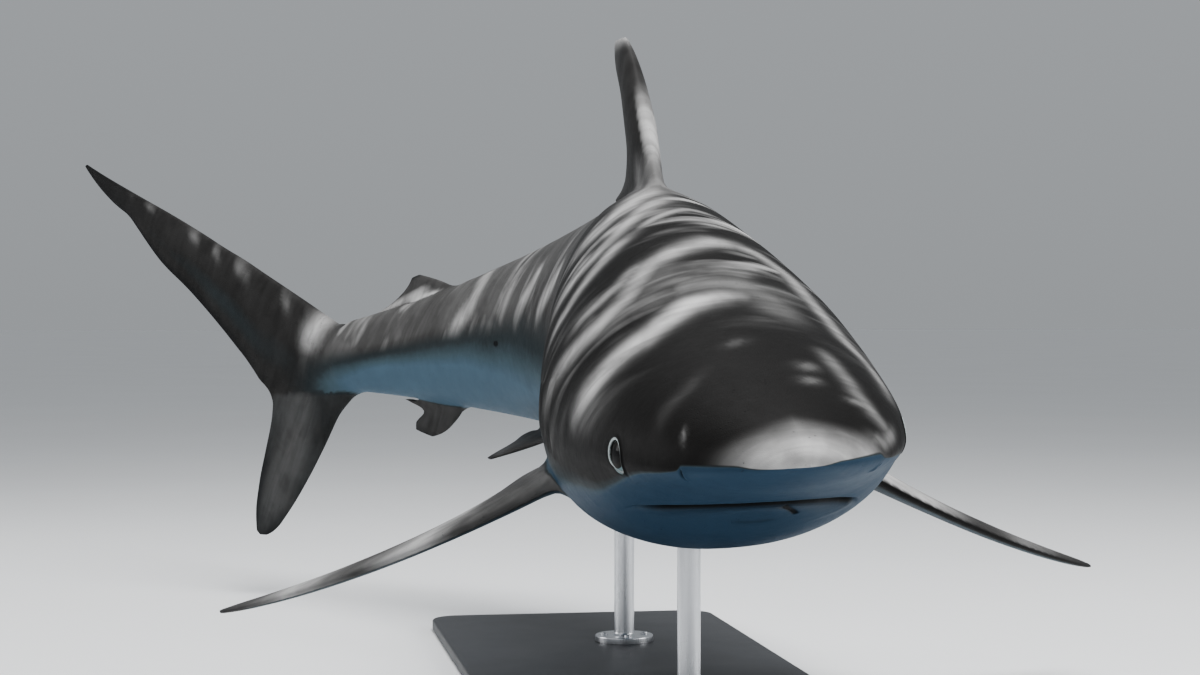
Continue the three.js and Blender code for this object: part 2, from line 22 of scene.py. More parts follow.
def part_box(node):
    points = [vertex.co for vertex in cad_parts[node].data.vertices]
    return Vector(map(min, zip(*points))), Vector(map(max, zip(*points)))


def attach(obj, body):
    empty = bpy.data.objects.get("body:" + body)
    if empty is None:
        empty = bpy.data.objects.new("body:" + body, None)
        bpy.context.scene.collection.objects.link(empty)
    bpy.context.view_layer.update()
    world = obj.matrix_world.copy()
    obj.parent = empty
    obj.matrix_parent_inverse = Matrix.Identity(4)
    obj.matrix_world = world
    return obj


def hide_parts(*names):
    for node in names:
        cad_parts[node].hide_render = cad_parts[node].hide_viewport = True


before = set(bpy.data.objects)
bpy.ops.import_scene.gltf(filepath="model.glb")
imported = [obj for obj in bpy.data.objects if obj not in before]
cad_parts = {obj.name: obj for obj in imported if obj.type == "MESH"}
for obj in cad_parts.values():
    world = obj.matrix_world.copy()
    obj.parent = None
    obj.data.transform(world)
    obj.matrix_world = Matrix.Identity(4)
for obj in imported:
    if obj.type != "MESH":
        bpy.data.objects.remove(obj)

Array = np.ndarray
Table = tuple[tuple[float, ...], ...]
Colour = tuple[float, float, float]
Pair = tuple[float, float]
LOG = logging.getLogger("shark")
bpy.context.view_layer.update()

TOTAL_LENGTH = 2.3  # metres, snout tip to tail tip with the upper lobe laid back
UNIT = TOTAL_LENGTH / 100
MILLIMETRE = 0.1 / TOTAL_LENGTH  # in percent of the length
COLUMNS = 48  # points around the body
FAR = 99.0  # a distance beyond any detail's reach
BODY = "root"


class Hand(Enum):
    """Side of the animal, as the sign of its side distances."""

    RIGHT = -1
    LEFT = 1

    def mirror(self, lie: Array) -> Array:
        """Unbent places with this side brought to the left, or back."""
        return lie * np.array([1, self.value, 1])


class RodPlace(Enum):
    """Where a rod of the stand holds the belly."""

    FRONT = "front"
    REAR = "rear"


class MetalTexture(Enum):
    """Surface of a metal part."""

    POWDER_COAT = "powder_coat"
    BRUSHED_STEEL = "brushed_steel"


# ---------------------------------------------------------------- curves and small tools
class MonotoneCurve:
    """Smooth curve through given points that never overshoots between them."""

    def __init__(self, xs: Sequence[float], ys: Sequence[float]) -> None:
        """Works out the slope at each point.

        Args:
            xs: places along the curve, rising.
            ys: values there.
        """
        self.xs, self.ys = np.array(xs, float), np.array(ys, float)
        gaps = np.diff(self.xs)
        rises = np.diff(self.ys) / gaps
        slopes = np.full(len(self.xs), rises[0])
        if len(gaps) > 1:
            before, after = rises[:-1], rises[1:]
            turning = before * after <= 0
            safe = [np.where(turning, 1.0, rise) for rise in (before, after)]
            a, b = 2 * gaps[1:] + gaps[:-1], gaps[1:] + 2 * gaps[:-1]
            slopes[1:-1] = np.where(turning, 0.0, (a + b) / (a / safe[0] + b / safe[1]))
            slopes[0] = self.end_slope(gaps[0], gaps[1], rises[0], rises[1])
            slopes[-1] = self.end_slope(gaps[-1], gaps[-2], rises[-1], rises[-2])
        self.gaps, self.slopes = gaps, slopes

    @staticmethod
    def end_slope(near: float, far: float, first: float, second: float) -> float:
        """Slope at an end of the curve, from the two stretches next to it.

        Args:
            near: length of the stretch at the end.
            far: length of the stretch behind it.
            first: mean slope of the stretch at the end.
            second: mean slope of the stretch behind it.

        Returns:
            The slope.
        """
        slope = ((2 * near + far) * first - near * second) / (near + far)
        if slope * first <= 0:
            return 0.0
        if first * second <= 0 and abs(slope) > 3 * abs(first):
            return 3 * first
        return slope

    def __call__(self, x: Array | float) -> Array:
        """Value of the curve, held beyond its ends.

        Args:
            x: places along the curve.

        Returns:
            The values there.
        """
        x = np.asarray(x, float)
        i = np.clip(np.searchsorted(self.xs, x, side="right") - 1, 0, len(self.gaps) - 1)
        gap = self.gaps[i]
        t = np.clip((x - self.xs[i]) / gap, 0, 1)
        t2, t3 = t * t, t * t * t
        return ((2 * t3 - 3 * t2 + 1) * self.ys[i] + (t3 - 2 * t2 + t) * gap * self.slopes[i]
                + (3 * t2 - 2 * t3) * self.ys[i + 1] + (t3 - t2) * gap * self.slopes[i + 1])


@dataclass(frozen=True)
class Rise:
    """Smooth change from 0 at one value to 1 at another, which may be the smaller one."""

    start: float
    end: float

    def __call__(self, value: Array) -> Array:
        """Share of the change at the values."""
        t = np.clip((value - self.start) / (self.end - self.start), 0, 1)
        return t * t * (3 - 2 * t)


@dataclass(frozen=True)
class Swell:
    """Rounded hill, or with a negative height a dip, that fades out on both sides of a value."""

    height: float
    centre: float
    width: float

    def __call__(self, value: Array) -> Array:
        """Height at the values."""
        return self.height * bell(value - self.centre, self.width)


def bell(value: Array, width: float) -> Array:
    """1 at zero, falling away on both sides within about two widths."""
    return np.exp(-(value / width) ** 2)


def unit_vectors(vectors: Array) -> Array:
    """The vectors at length 1."""
    return vectors / np.maximum(np.linalg.norm(vectors, axis=-1, keepdims=True), 1e-12)


def line_distance(points: Array, line: Array) -> tuple[Array, Array]:
    """Distances from points to a line of straight pieces.

    Args:
        points: places, one row each.
        line: the line's corners.

    Returns:
        The distances, and how far along the line the nearest place is, from 0 to 1.
    """
    best, share = np.full(len(points), np.inf), np.zeros(len(points))
    for i, (a, b) in enumerate(zip(line[:-1], line[1:])):
        along = b - a
        t = np.clip((points - a) @ along / (along @ along), 0, 1)
        gap = np.linalg.norm(points - a - t[:, None] * along, axis=1)
        closer = gap < best
        best[closer], share[closer] = gap[closer], (i + t[closer]) / (len(line) - 1)
    return best, share


def scene_object(name: str, data: bpy.types.ID) -> Object:
    """Puts an object into the scene, at the origin.

    Args:
        name: the object's name.
        data: its mesh, light or camera.

    Returns:
        The object.
    """
    piece = bpy.data.objects.new(name, data)
    bpy.context.scene.collection.objects.link(piece)
    return piece


def wrap(work: BMesh, rows: Sequence[Sequence[BMVert]]) -> None:
    """Adds the faces between rows of points that go round once.

    Args:
        work: the shape.
        rows: equally long rows; a pole is a row of one point over and over.
    """
    for low, high in zip(rows[:-1], rows[1:]):
        for k in range(len(low)):
            after = (k + 1) % len(low)
            work.faces.new(list(dict.fromkeys((low[k], low[after], high[after], high[k]))))


def outward_mesh(name: str, work: BMesh, crease: float = 0.0) -> Mesh:
    """Ends the work on a closed shape.

    Args:
        name: the mesh's name.
        work: the shape, which is freed.
        crease: angle in degrees from which an edge is drawn sharp, or 0 for none.

    Returns:
        A smooth mesh whose faces point outwards.
    """
    bmesh.ops.recalc_face_normals(work, faces=work.faces)
    mesh = bpy.data.meshes.new(name)
    work.to_mesh(mesh)
    work.free()
    mesh.shade_smooth()
    if crease:
        mesh.set_sharp_from_angle(angle=math.radians(crease))
    return mesh


# ---------------------------------------------------------------- the animal's form
@dataclass(frozen=True)
class Spine:
    """Line that the animal is bent along, and its place over the stand."""

    stations: tuple[float, ...] = (0, 20, 35, 50, 62, 74)
    headings: tuple[float, ...] = (0, -3.2, -4.2, 16.9, 35.6, 52.3)
    climbs: tuple[float, ...] = (0, 4.2, 6.2, 0.6, -0.8, -0.2)
    tail_root: float = 74.2
    step: float = 0.25
    setback: float = 0.8
    snout_height: float = 0.32
    bank: float = 3.66

    def directions(self, station: Array) -> tuple[Array, Array, Array]:
        """Directions back along the spine, to the left and up.

        Args:
            station: places along the spine.

        Returns:
            Three arrays of unit vectors.
        """
        held = np.minimum(station, self.tail_root)
        heading = np.radians(MonotoneCurve(self.stations, self.headings)(held))
        climb = np.radians(MonotoneCurve(self.stations, self.climbs)(held))
        sh, ch, sc, cc = np.sin(heading), np.cos(heading), np.sin(climb), np.cos(climb)
        back = np.stack([-sh * cc, ch * cc, sc], -1)
        left = np.stack([ch, sh, 0 * ch], -1)
        up = np.stack([sh * sc, -ch * sc, cc], -1)
        return back, left, up

    def line(self, station: Array) -> Array:
        """Points of the spine line.

        Args:
            station: places along the spine.

        Returns:
            Points in percent of the length, one row each.
        """
        marks = np.arange(0, 100 + self.step, self.step)
        back, _, _ = self.directions(marks[1:] - self.step / 2)
        points = np.vstack([np.zeros(3), np.cumsum(back * self.step, 0)])
        return np.stack([np.interp(station, marks, points[:, k]) for k in range(3)], -1)

    def place(self, lie: Array) -> Array:
        """Points of the posed animal.

        Args:
            lie: unbent places (station, side, up), one row each.

        Returns:
            Points in metres, in the frame.
        """
        _, left, up = self.directions(lie[:, 0])
        points = (self.line(lie[:, 0]) + lie[:, 1:2] * left + lie[:, 2:3] * up) * UNIT
        turn = np.array(Matrix.Rotation(math.radians(-self.bank), 3, "Y"))
        return points @ turn.T + np.array([0, -self.setback, self.snout_height])


@dataclass(frozen=True)
class TrunkForm:
    """Sections of the body from the snout to the root of the tail fin."""

    # station, half width, rise of the back, drop of the belly, height of the widest line,
    # squareness of the upper and lower halves (2 is an ellipse)
    rows: Table = (
        (0.4, 1.24, 0.58, 0.41, -0.18, 1.97, 1.91),
        (1.2, 2.35, 1.16, 0.73, -0.20, 1.97, 1.92),
        (2.5, 3.56, 1.87, 1.14, -0.22, 1.95, 1.93),
        (4.5, 4.79, 2.75, 1.60, -0.14, 1.93, 1.94),
        (8.0, 6.09, 4.04, 2.65, 0.03, 1.88, 1.98),
        (12.0, 6.85, 5.27, 4.50, 0.13, 1.83, 2.20),
        (16.0, 7.29, 6.48, 5.42, 0.17, 1.85, 2.24),
        (20.0, 7.51, 7.61, 5.83, 0.07, 1.87, 2.30),
        (27.0, 7.04, 8.97, 6.12, 0.01, 1.88, 2.18),
        (35.0, 6.19, 9.61, 5.96, 0.04, 1.90, 2.12),
        (43.0, 5.16, 8.55, 5.53, 0.15, 1.90, 2.08),
        (50.0, 4.25, 7.30, 4.88, 0.17, 1.93, 2.09),
        (57.0, 3.36, 5.90, 4.11, 0.18, 1.96, 2.09),
        (64.0, 2.50, 4.47, 3.19, 0.19, 1.98, 2.09),
        (70.0, 1.78, 3.29, 2.31, 0.19, 1.98, 2.09),
        (74.5, 1.34, 2.48, 1.77, 0.19, 1.99, 2.09),
    )
    snout_level: float = -0.18
    ends: Pair = (0.02, 74.5)  # stations between which the sections hold

    def sizes(self, station: Array) -> tuple[Array, ...]:
        """Sizes of the sections.

        Args:
            station: distances behind the snout tip.

        Returns:
            Half width, back, belly, widest line and the two squarenesses.
        """
        roots = [math.sqrt(row[0]) for row in self.rows]
        columns = list(zip(*self.rows))
        root = np.sqrt(np.maximum(station, 0))
        grown = [MonotoneCurve([0, *roots], [start, *column])(root) for start, column in
                 zip((0, 0, 0, self.snout_level), columns[1:5])]
        held = [MonotoneCurve(roots, column)(np.maximum(root, roots[0])) for column in columns[5:7]]
        return (*grown, *held)

    def section(self, station: Array, angle: Array) -> Array:
        """Places on the body's surface.

        Args:
            station: distances behind the snout tip.
            angle: angles round the body in radians, 0 at the left and a quarter turn on top.

        Returns:
            Unbent places.
        """
        width, back, belly, widest, upper, lower = self.sizes(station)
        c, s = np.cos(angle), np.sin(angle)
        c, s = np.where(np.abs(c) < 1e-9, 0, c), np.where(np.abs(s) < 1e-9, 0, s)
        power = 2 / np.where(s >= 0, upper, lower)
        reach = np.where(s >= 0, back - widest, belly + widest)
        side = width * np.sign(c) * np.abs(c) ** power
        return np.stack([station, side, widest + np.sign(s) * reach * np.abs(s) ** power], -1)

    def under_side(self, station: Array, side: Array) -> Array:
        """Places on the lower half of the surface.

        Args:
            station: distances behind the snout tip.
            side: distances from the middle plane.

        Returns:
            Unbent places.
        """
        width, _, belly, widest, _, lower = self.sizes(station)
        c = np.clip(np.abs(side) / width, 0, 1) ** (lower / 2)
        drop = (belly + widest) * np.sqrt(1 - c * c) ** (2 / lower)
        return np.stack([station, side, widest - drop], -1)


def foil_half(chord: Array, half: float, taper: float) -> Array:
    """Half thickness at shares of the chord, from the greatest one and the rear's taper."""
    thickest = 0.5 / (0.5 + taper)
    return half * np.sqrt(chord / thickest) * ((1 - chord) / (1 - thickest)) ** taper


@dataclass(frozen=True)
class FinForm:
    """Fin lofted over ribs, each a foil from its leading to its trailing point.

    A rib is lead x, lead y, trail x, trail y, half thickness, taper of the section. rows and
    column give where the fin grows from the body, half_span how many columns to each side the
    root takes, sense the direction of its first face round the body and start the place along
    the ribs where it leaves the skin. Above its foot the fin leans sideways.
    """

    ribs: Table
    rows: Pair
    column: int
    half_span: int
    sense: int
    start: float
    foot: float = field(default=0.0, kw_only=True)
    lean: float = field(default=0.0, kw_only=True)

    def spot(self, x: Array, y: Array, t: Array) -> Array:
        """Unbent places from places in the fin's plane and the distance t to one face."""
        return np.stack([x, t + self.lean * np.maximum(y - self.foot, 0), y], -1)

    def rib(self, order: float | Array) -> list[Array]:
        """Lead x, lead y, trail x, trail y, half thickness and taper at a place along the ribs."""
        return [MonotoneCurve(range(len(self.ribs)), column)(order) for column in zip(*self.ribs)]

    def ring(self, order: float, count: int) -> Array:
        """Points round the fin at a place along its ribs.

        Args:
            order: place along the ribs, counted in ribs from the root.
            count: points on each face, without the two edges.

        Returns:
            Rows of (station, side, up, chord share, face).
        """
        lead_x, lead_y, trail_x, trail_y, half, taper = self.rib(order)
        chords = 0.5 - 0.5 * np.cos(np.pi * np.arange(1, count + 1) / (count + 1))
        thick = foil_half(chords, half, taper)
        chord = np.concatenate([[0], chords, [1], chords[::-1]])
        t = np.concatenate([[0], thick, [0], -thick[::-1]])
        x, y = lead_x + (trail_x - lead_x) * chord, lead_y + (trail_y - lead_y) * chord
        return np.column_stack([self.spot(x, y, t), chord, np.sign(t)])

    def orders(self, spacing: float, crowding: float = 0.3) -> Array:
        """Places of the rings along the ribs.

        Args:
            spacing: wanted distance between rings.
            crowding: how much closer they get towards the tip.

        Returns:
            The places, counted in ribs from the root.
        """
        fine = np.linspace(self.start, len(self.ribs) - 1, 400)
        steps = np.abs(np.diff(np.stack(self.rib(fine)[:4], -1), axis=0))
        gone = np.concatenate([[0], np.cumsum(np.hypot(steps[:, 0] + steps[:, 2],
                                                       steps[:, 1] + steps[:, 3]) / 2)])
        count = max(int(gone[-1] / spacing), 6)
        share = np.linspace(0, 1, count + 1)
        share = share + crowding * share * (1 - share)
        return np.interp(share * gone[-1], gone, fine)


@dataclass(frozen=True)
class PairedFinForm(FinForm):
    """Fin of a pair: swept back about its root, drooping less and less towards its tip.

    station, side and up are its root's place, droop the angles below level at root and tip, and
    sweep and tilt angles too. The line that the tilt turns about runs back by rake per unit of
    span. step is how finely the droop is followed.
    """

    hand: Hand
    station: float
    side: float
    up: float
    droop: Pair
    sweep: float
    tilt: float
    rake: float = 0.45
    step: float = 0.25

    def spot(self, x: Array, y: Array, t: Array) -> Array:
        """Unbent places from places in the fin's plane.

        Args:
            x: distances back along the fin.
            y: distances out along it.
            t: distances to its upper face.

        Returns:
            Unbent places.
        """
        pivot = self.ribs[1][2] / 2
        turn, slope = math.radians(self.sweep), math.tan(math.radians(self.tilt))
        swept_x = pivot + (x - pivot) * math.cos(turn) + y * math.sin(turn)
        swept_y = y * math.cos(turn) - (x - pivot) * math.sin(turn)
        span = self.ribs[-1][1]
        root, tip = (math.radians(angle) for angle in self.droop)
        marks = np.arange(0, span + 1 + self.step, self.step)
        angles = root + (tip - root) * np.clip(marks[1:] - self.step / 2, 0, span) / span
        out = np.concatenate([[0], np.cumsum(self.step * np.cos(angles))])
        down = np.concatenate([[0], np.cumsum(self.step * np.sin(angles))])
        inner = swept_y <= 0
        out = np.where(inner, swept_y * math.cos(root), np.interp(swept_y, marks, out))
        down = np.where(inner, swept_y * math.sin(root), np.interp(swept_y, marks, down))
        angle = root + (tip - root) * np.clip(swept_y, 0, span) / span
        rise = t + (pivot + self.rake * np.maximum(swept_y, 0) - swept_x) * slope
        return np.stack([self.station + swept_x,
                         self.hand.value * (self.side + out + rise * np.sin(angle)),
                         self.up - down + rise * np.cos(angle)], -1)


DORSAL_FIRST: Table = (
    (34.0, 7.4, 42.2, 6.6, 0.80, 0.8),
    (33.4, 9.4, 42.4, 8.6, 0.85, 0.8),
    (34.0, 10.3, 46.0, 8.5, 0.72, 0.9),
    (34.9, 11.3, 43.8, 9.8, 0.71, 1.0),
    (36.3, 12.9, 43.0, 11.9, 0.74, 1.0),
    (38.1, 14.8, 43.3, 14.2, 0.63, 1.0),
    (40.0, 16.7, 44.0, 16.3, 0.38, 0.9),
    (41.5, 17.55, 43.7, 17.4, 0.17, 0.7),
)
DORSAL_SECOND: Table = (
    (64.6, 3.4, 66.9, 3.0, 0.30, 0.8),
    (64.1, 4.4, 67.3, 3.75, 0.30, 0.8),
    (64.7, 4.7, 72.1, 2.65, 0.22, 1.0),
    (65.6, 4.95, 69.6, 3.75, 0.20, 1.0),
    (66.5, 5.2, 68.4, 4.6, 0.16, 1.0),
    (67.2, 5.38, 67.9, 5.2, 0.10, 0.7),
)
ANAL: Table = (
    (64.4, -2.2, 66.9, -1.9, 0.30, 0.8),
    (63.8, -3.15, 67.2, -2.8, 0.32, 0.8),
    (64.5, -3.75, 69.4, -2.6, 0.24, 1.0),
    (65.2, -4.3, 67.5, -3.5, 0.22, 1.0),
    (66.1, -4.85, 68.4, -4.0, 0.18, 1.0),
    (67.1, -5.1, 68.5, -4.6, 0.10, 0.7),
)
CAUDAL_UPPER: Table = (
    (74.22, 2.50, 74.22, -1.80, 1.37, 0.5),
    (76.0, 3.70, 76.2, -2.00, 1.00, 0.55),
    (78.0, 5.00, 78.2, -2.00, 0.78, 0.7),
    (80.2, 6.40, 80.0, -1.80, 0.66, 0.9),
    (81.6, 7.30, 82.1, 0.66, 0.58, 1.0),
    (83.0, 8.10, 84.1, 3.00, 0.52, 1.0),
    (85.2, 9.45, 86.4, 5.45, 0.44, 1.0),
    (87.8, 10.95, 88.8, 7.70, 0.36, 1.0),
    (90.2, 12.25, 90.8, 10.35, 0.28, 0.9),
    (91.1, 12.75, 91.3, 11.0, 0.24, 0.9),
    (92.0, 13.25, 92.4, 11.85, 0.20, 0.9),
    (93.4, 14.05, 93.8, 13.25, 0.14, 0.8),
    (94.7, 14.85, 94.9, 14.75, 0.05, 0.6),
)
CAUDAL_LOWER: Table = (
    (74.0, -0.2, 79.0, 0.2, 0.60, 0.8),
    (73.0, -1.7, 79.9, -1.6, 0.62, 0.8),
    (74.6, -3.35, 80.2, -3.4, 0.52, 1.0),
    (76.0, -5.45, 80.9, -5.6, 0.42, 1.0),
    (77.4, -7.45, 81.6, -7.7, 0.32, 1.0),
    (79.2, -9.7, 82.1, -9.9, 0.22, 0.9),
    (80.6, -11.1, 82.15, -11.0, 0.14, 0.8),
    (81.3, -11.42, 81.9, -11.38, 0.07, 0.6),
)
PECTORAL: Table = (
    (0.8, -2.0, 5.6, -2.0, 0.72, 0.8),
    (0.0, 0.6, 6.1, 0.6, 0.74, 0.8),
    (0.3, 1.7, 9.6, 2.5, 0.61, 0.9),
    (1.0, 3.2, 8.3, 4.2, 0.52, 1.0),
    (2.5, 6.8, 7.7, 7.4, 0.41, 1.0),
    (4.5, 10.9, 8.1, 11.2, 0.35, 1.0),
    (6.8, 15.0, 9.1, 15.2, 0.27, 1.0),
    (8.4, 17.4, 9.9, 17.6, 0.18, 0.9),
    (9.5, 18.6, 10.0, 18.6, 0.07, 0.7),
)
PELVIC: Table = (
    (0.8, -1.1, 4.0, -1.1, 0.30, 0.8),
    (0.0, 0.4, 4.6, 0.4, 0.34, 0.8),
    (0.6, 1.1, 6.4, 1.1, 0.26, 1.0),
    (1.5, 2.3, 5.4, 2.4, 0.22, 1.0),
    (2.5, 3.5, 4.9, 3.7, 0.15, 0.9),
    (3.4, 4.4, 4.3, 4.45, 0.08, 0.7),
)

UPPER_LOBE = FinForm(CAUDAL_UPPER, (74.2, 95.0), 12, 1, 1, 3.0)
MIDDLE_FINS = (
    FinForm(DORSAL_FIRST, (33.1, 42.7), 12, 2, -1, 1.45, foot=10.0, lean=-0.03),
    FinForm(DORSAL_SECOND, (63.7, 67.5), 12, 2, -1, 1.35),
    FinForm(ANAL, (63.7, 67.5), 36, 2, 1, 1.35),
    FinForm(CAUDAL_LOWER, (72.9, 80.0), 36, 4, 1, 1.3),
)
PAIRED_FINS = (
    PairedFinForm(PECTORAL, (21.0, 27.6), 28, 1, -1, 1.3, hand=Hand.RIGHT, station=21.2, side=6.1,
                  up=-2.65, droop=(30.3, 16.4), sweep=-1.2, tilt=5.9),
    PairedFinForm(PECTORAL, (21.0, 27.6), 44, 1, 1, 1.3, hand=Hand.LEFT, station=21.2, side=6.1,
                  up=-2.65, droop=(34.5, 23.3), sweep=5.0, tilt=3.2),
    *(PairedFinForm(PELVIC, (48.8, 53.9), 36 + 3 * hand.value, 1, hand.value, 1.2, hand=hand,
                    station=49.0, side=1.85, up=-4.45, droop=(22.6, 19.6), sweep=12.5, tilt=3.4)
      for hand in Hand),
)


# ---------------------------------------------------------------- the skin's surface
@dataclass
class Surface:
    """Triangles of the skin, with what is known at each point.

    points are unbent places. Columns of facts: share of fin, share of the fin's span, share of
    its chord, and its face (1 or -1).
    """

    points: Array
    facts: Array
    faces: Array

    def normals(self) -> Array:
        """Outward directions at the points.

        Returns:
            Unit vectors in unbent space, one row each.
        """
        a, b, c = (self.points[self.faces[:, k]] for k in range(3))
        across = np.cross(b - a, c - a)
        total = np.zeros_like(self.points)
        for k in range(3):
            for axis in range(3):
                total[:, axis] += np.bincount(self.faces[:, k], across[:, axis], len(self.points))
        return unit_vectors(total)

    def refine(self, target: Callable[[Array], Array], rounds: int) -> None:
        """Splits edges until they are no longer than the target size.

        Args:
            target: gives the wanted edge length at unbent places.
            rounds: most times that every edge may be halved.
        """
        for _ in range(rounds):
            pairs = np.sort(np.stack([self.faces, np.roll(self.faces, -1, 1)], -1), -1)
            keys = pairs[..., 0].astype(np.int64) * len(self.points) + pairs[..., 1]
            edges, of_face = np.unique(keys, return_inverse=True)
            of_face = of_face.reshape(-1, 3)
            ends = np.stack([edges // len(self.points), edges % len(self.points)], -1)
            p, q = self.points[ends[:, 0]], self.points[ends[:, 1]]
            length = np.linalg.norm(p - q, axis=1)
            split = length > target((p + q) / 2)
            if not split.any():
                return
            longest = of_face[np.arange(len(of_face)), np.argmax(length[of_face], 1)]
            while True:
                before = split.sum()
                split[longest[split[of_face].any(1)]] = True
                if split.sum() == before:
                    break
            self.split_edges(ends, of_face, split)

    def split_edges(self, ends: Array, of_face: Array, split: Array) -> None:
        """Puts a point on each chosen edge, on the curved surface, and divides the faces.

        Args:
            ends: the two points of each edge.
            of_face: the three edges of each face, the k-th from its k-th corner.
            split: whether each edge is split.
        """
        normals = self.normals()
        a, b = ends[split].T
        gap = self.points[b] - self.points[a]
        lift_a = (gap * normals[a]).sum(1, keepdims=True) * normals[a]
        lift_b = (-gap * normals[b]).sum(1, keepdims=True) * normals[b]
        middle = (self.points[a] + self.points[b]) / 2 - (lift_a + lift_b) / 8
        number = np.full(len(ends), -1)
        number[split] = len(self.points) + np.arange(len(a))
        self.points = np.vstack([self.points, middle])
        self.facts = np.vstack([self.facts, (self.facts[a] + self.facts[b]) / 2])
        new = number[of_face]
        count = (new >= 0).sum(1)
        parts = [self.faces[count == 0]]
        for k in range(3):
            x, y, z = (np.roll(self.faces, -k, 1)[:, i] for i in range(3))
            xy, yz, zx = (np.roll(new, -k, 1)[:, i] for i in range(3))
            one = (count == 1) & (xy >= 0)
            parts += [np.stack([x, xy, z], 1)[one], np.stack([xy, y, z], 1)[one]]
            two = (count == 2) & (zx < 0)
            parts += [np.stack([xy, y, yz], 1)[two], np.stack([x, xy, yz], 1)[two],
                      np.stack([x, yz, z], 1)[two]]
            if k == 0:
                three = count == 3
                parts += [np.stack(corner, 1)[three] for corner in
                          ((x, xy, zx), (xy, y, yz), (zx, yz, z), (xy, yz, zx))]
        self.faces = np.vstack(parts)

    def relax(self, weight: Array, rounds: int, least: float = 0.01) -> None:
        """Moves points towards the middle of their neighbours.

        Args:
            weight: how much each point moves, from 0 to 1.
            rounds: number of moves.
            least: weight up to which a point stays.
        """
        pairs = np.sort(np.vstack([self.faces[:, [0, 1]], self.faces[:, [1, 2]],
                                   self.faces[:, [2, 0]]]), 1)
        pairs = np.unique(pairs, axis=0)
        near = (weight[pairs] > least).any(1)
        a, b = pairs[near].T
        size = len(self.points)
        degree = np.maximum(np.bincount(a, minlength=size) + np.bincount(b, minlength=size), 1)
        for _ in range(rounds):
            for axis in range(3):
                value = self.points[:, axis]
                total = np.bincount(a, value[b], size) + np.bincount(b, value[a], size)
                moved = np.where(weight > least, total / degree, value)
                self.points[:, axis] = value + 0.5 * weight * (moved - value)


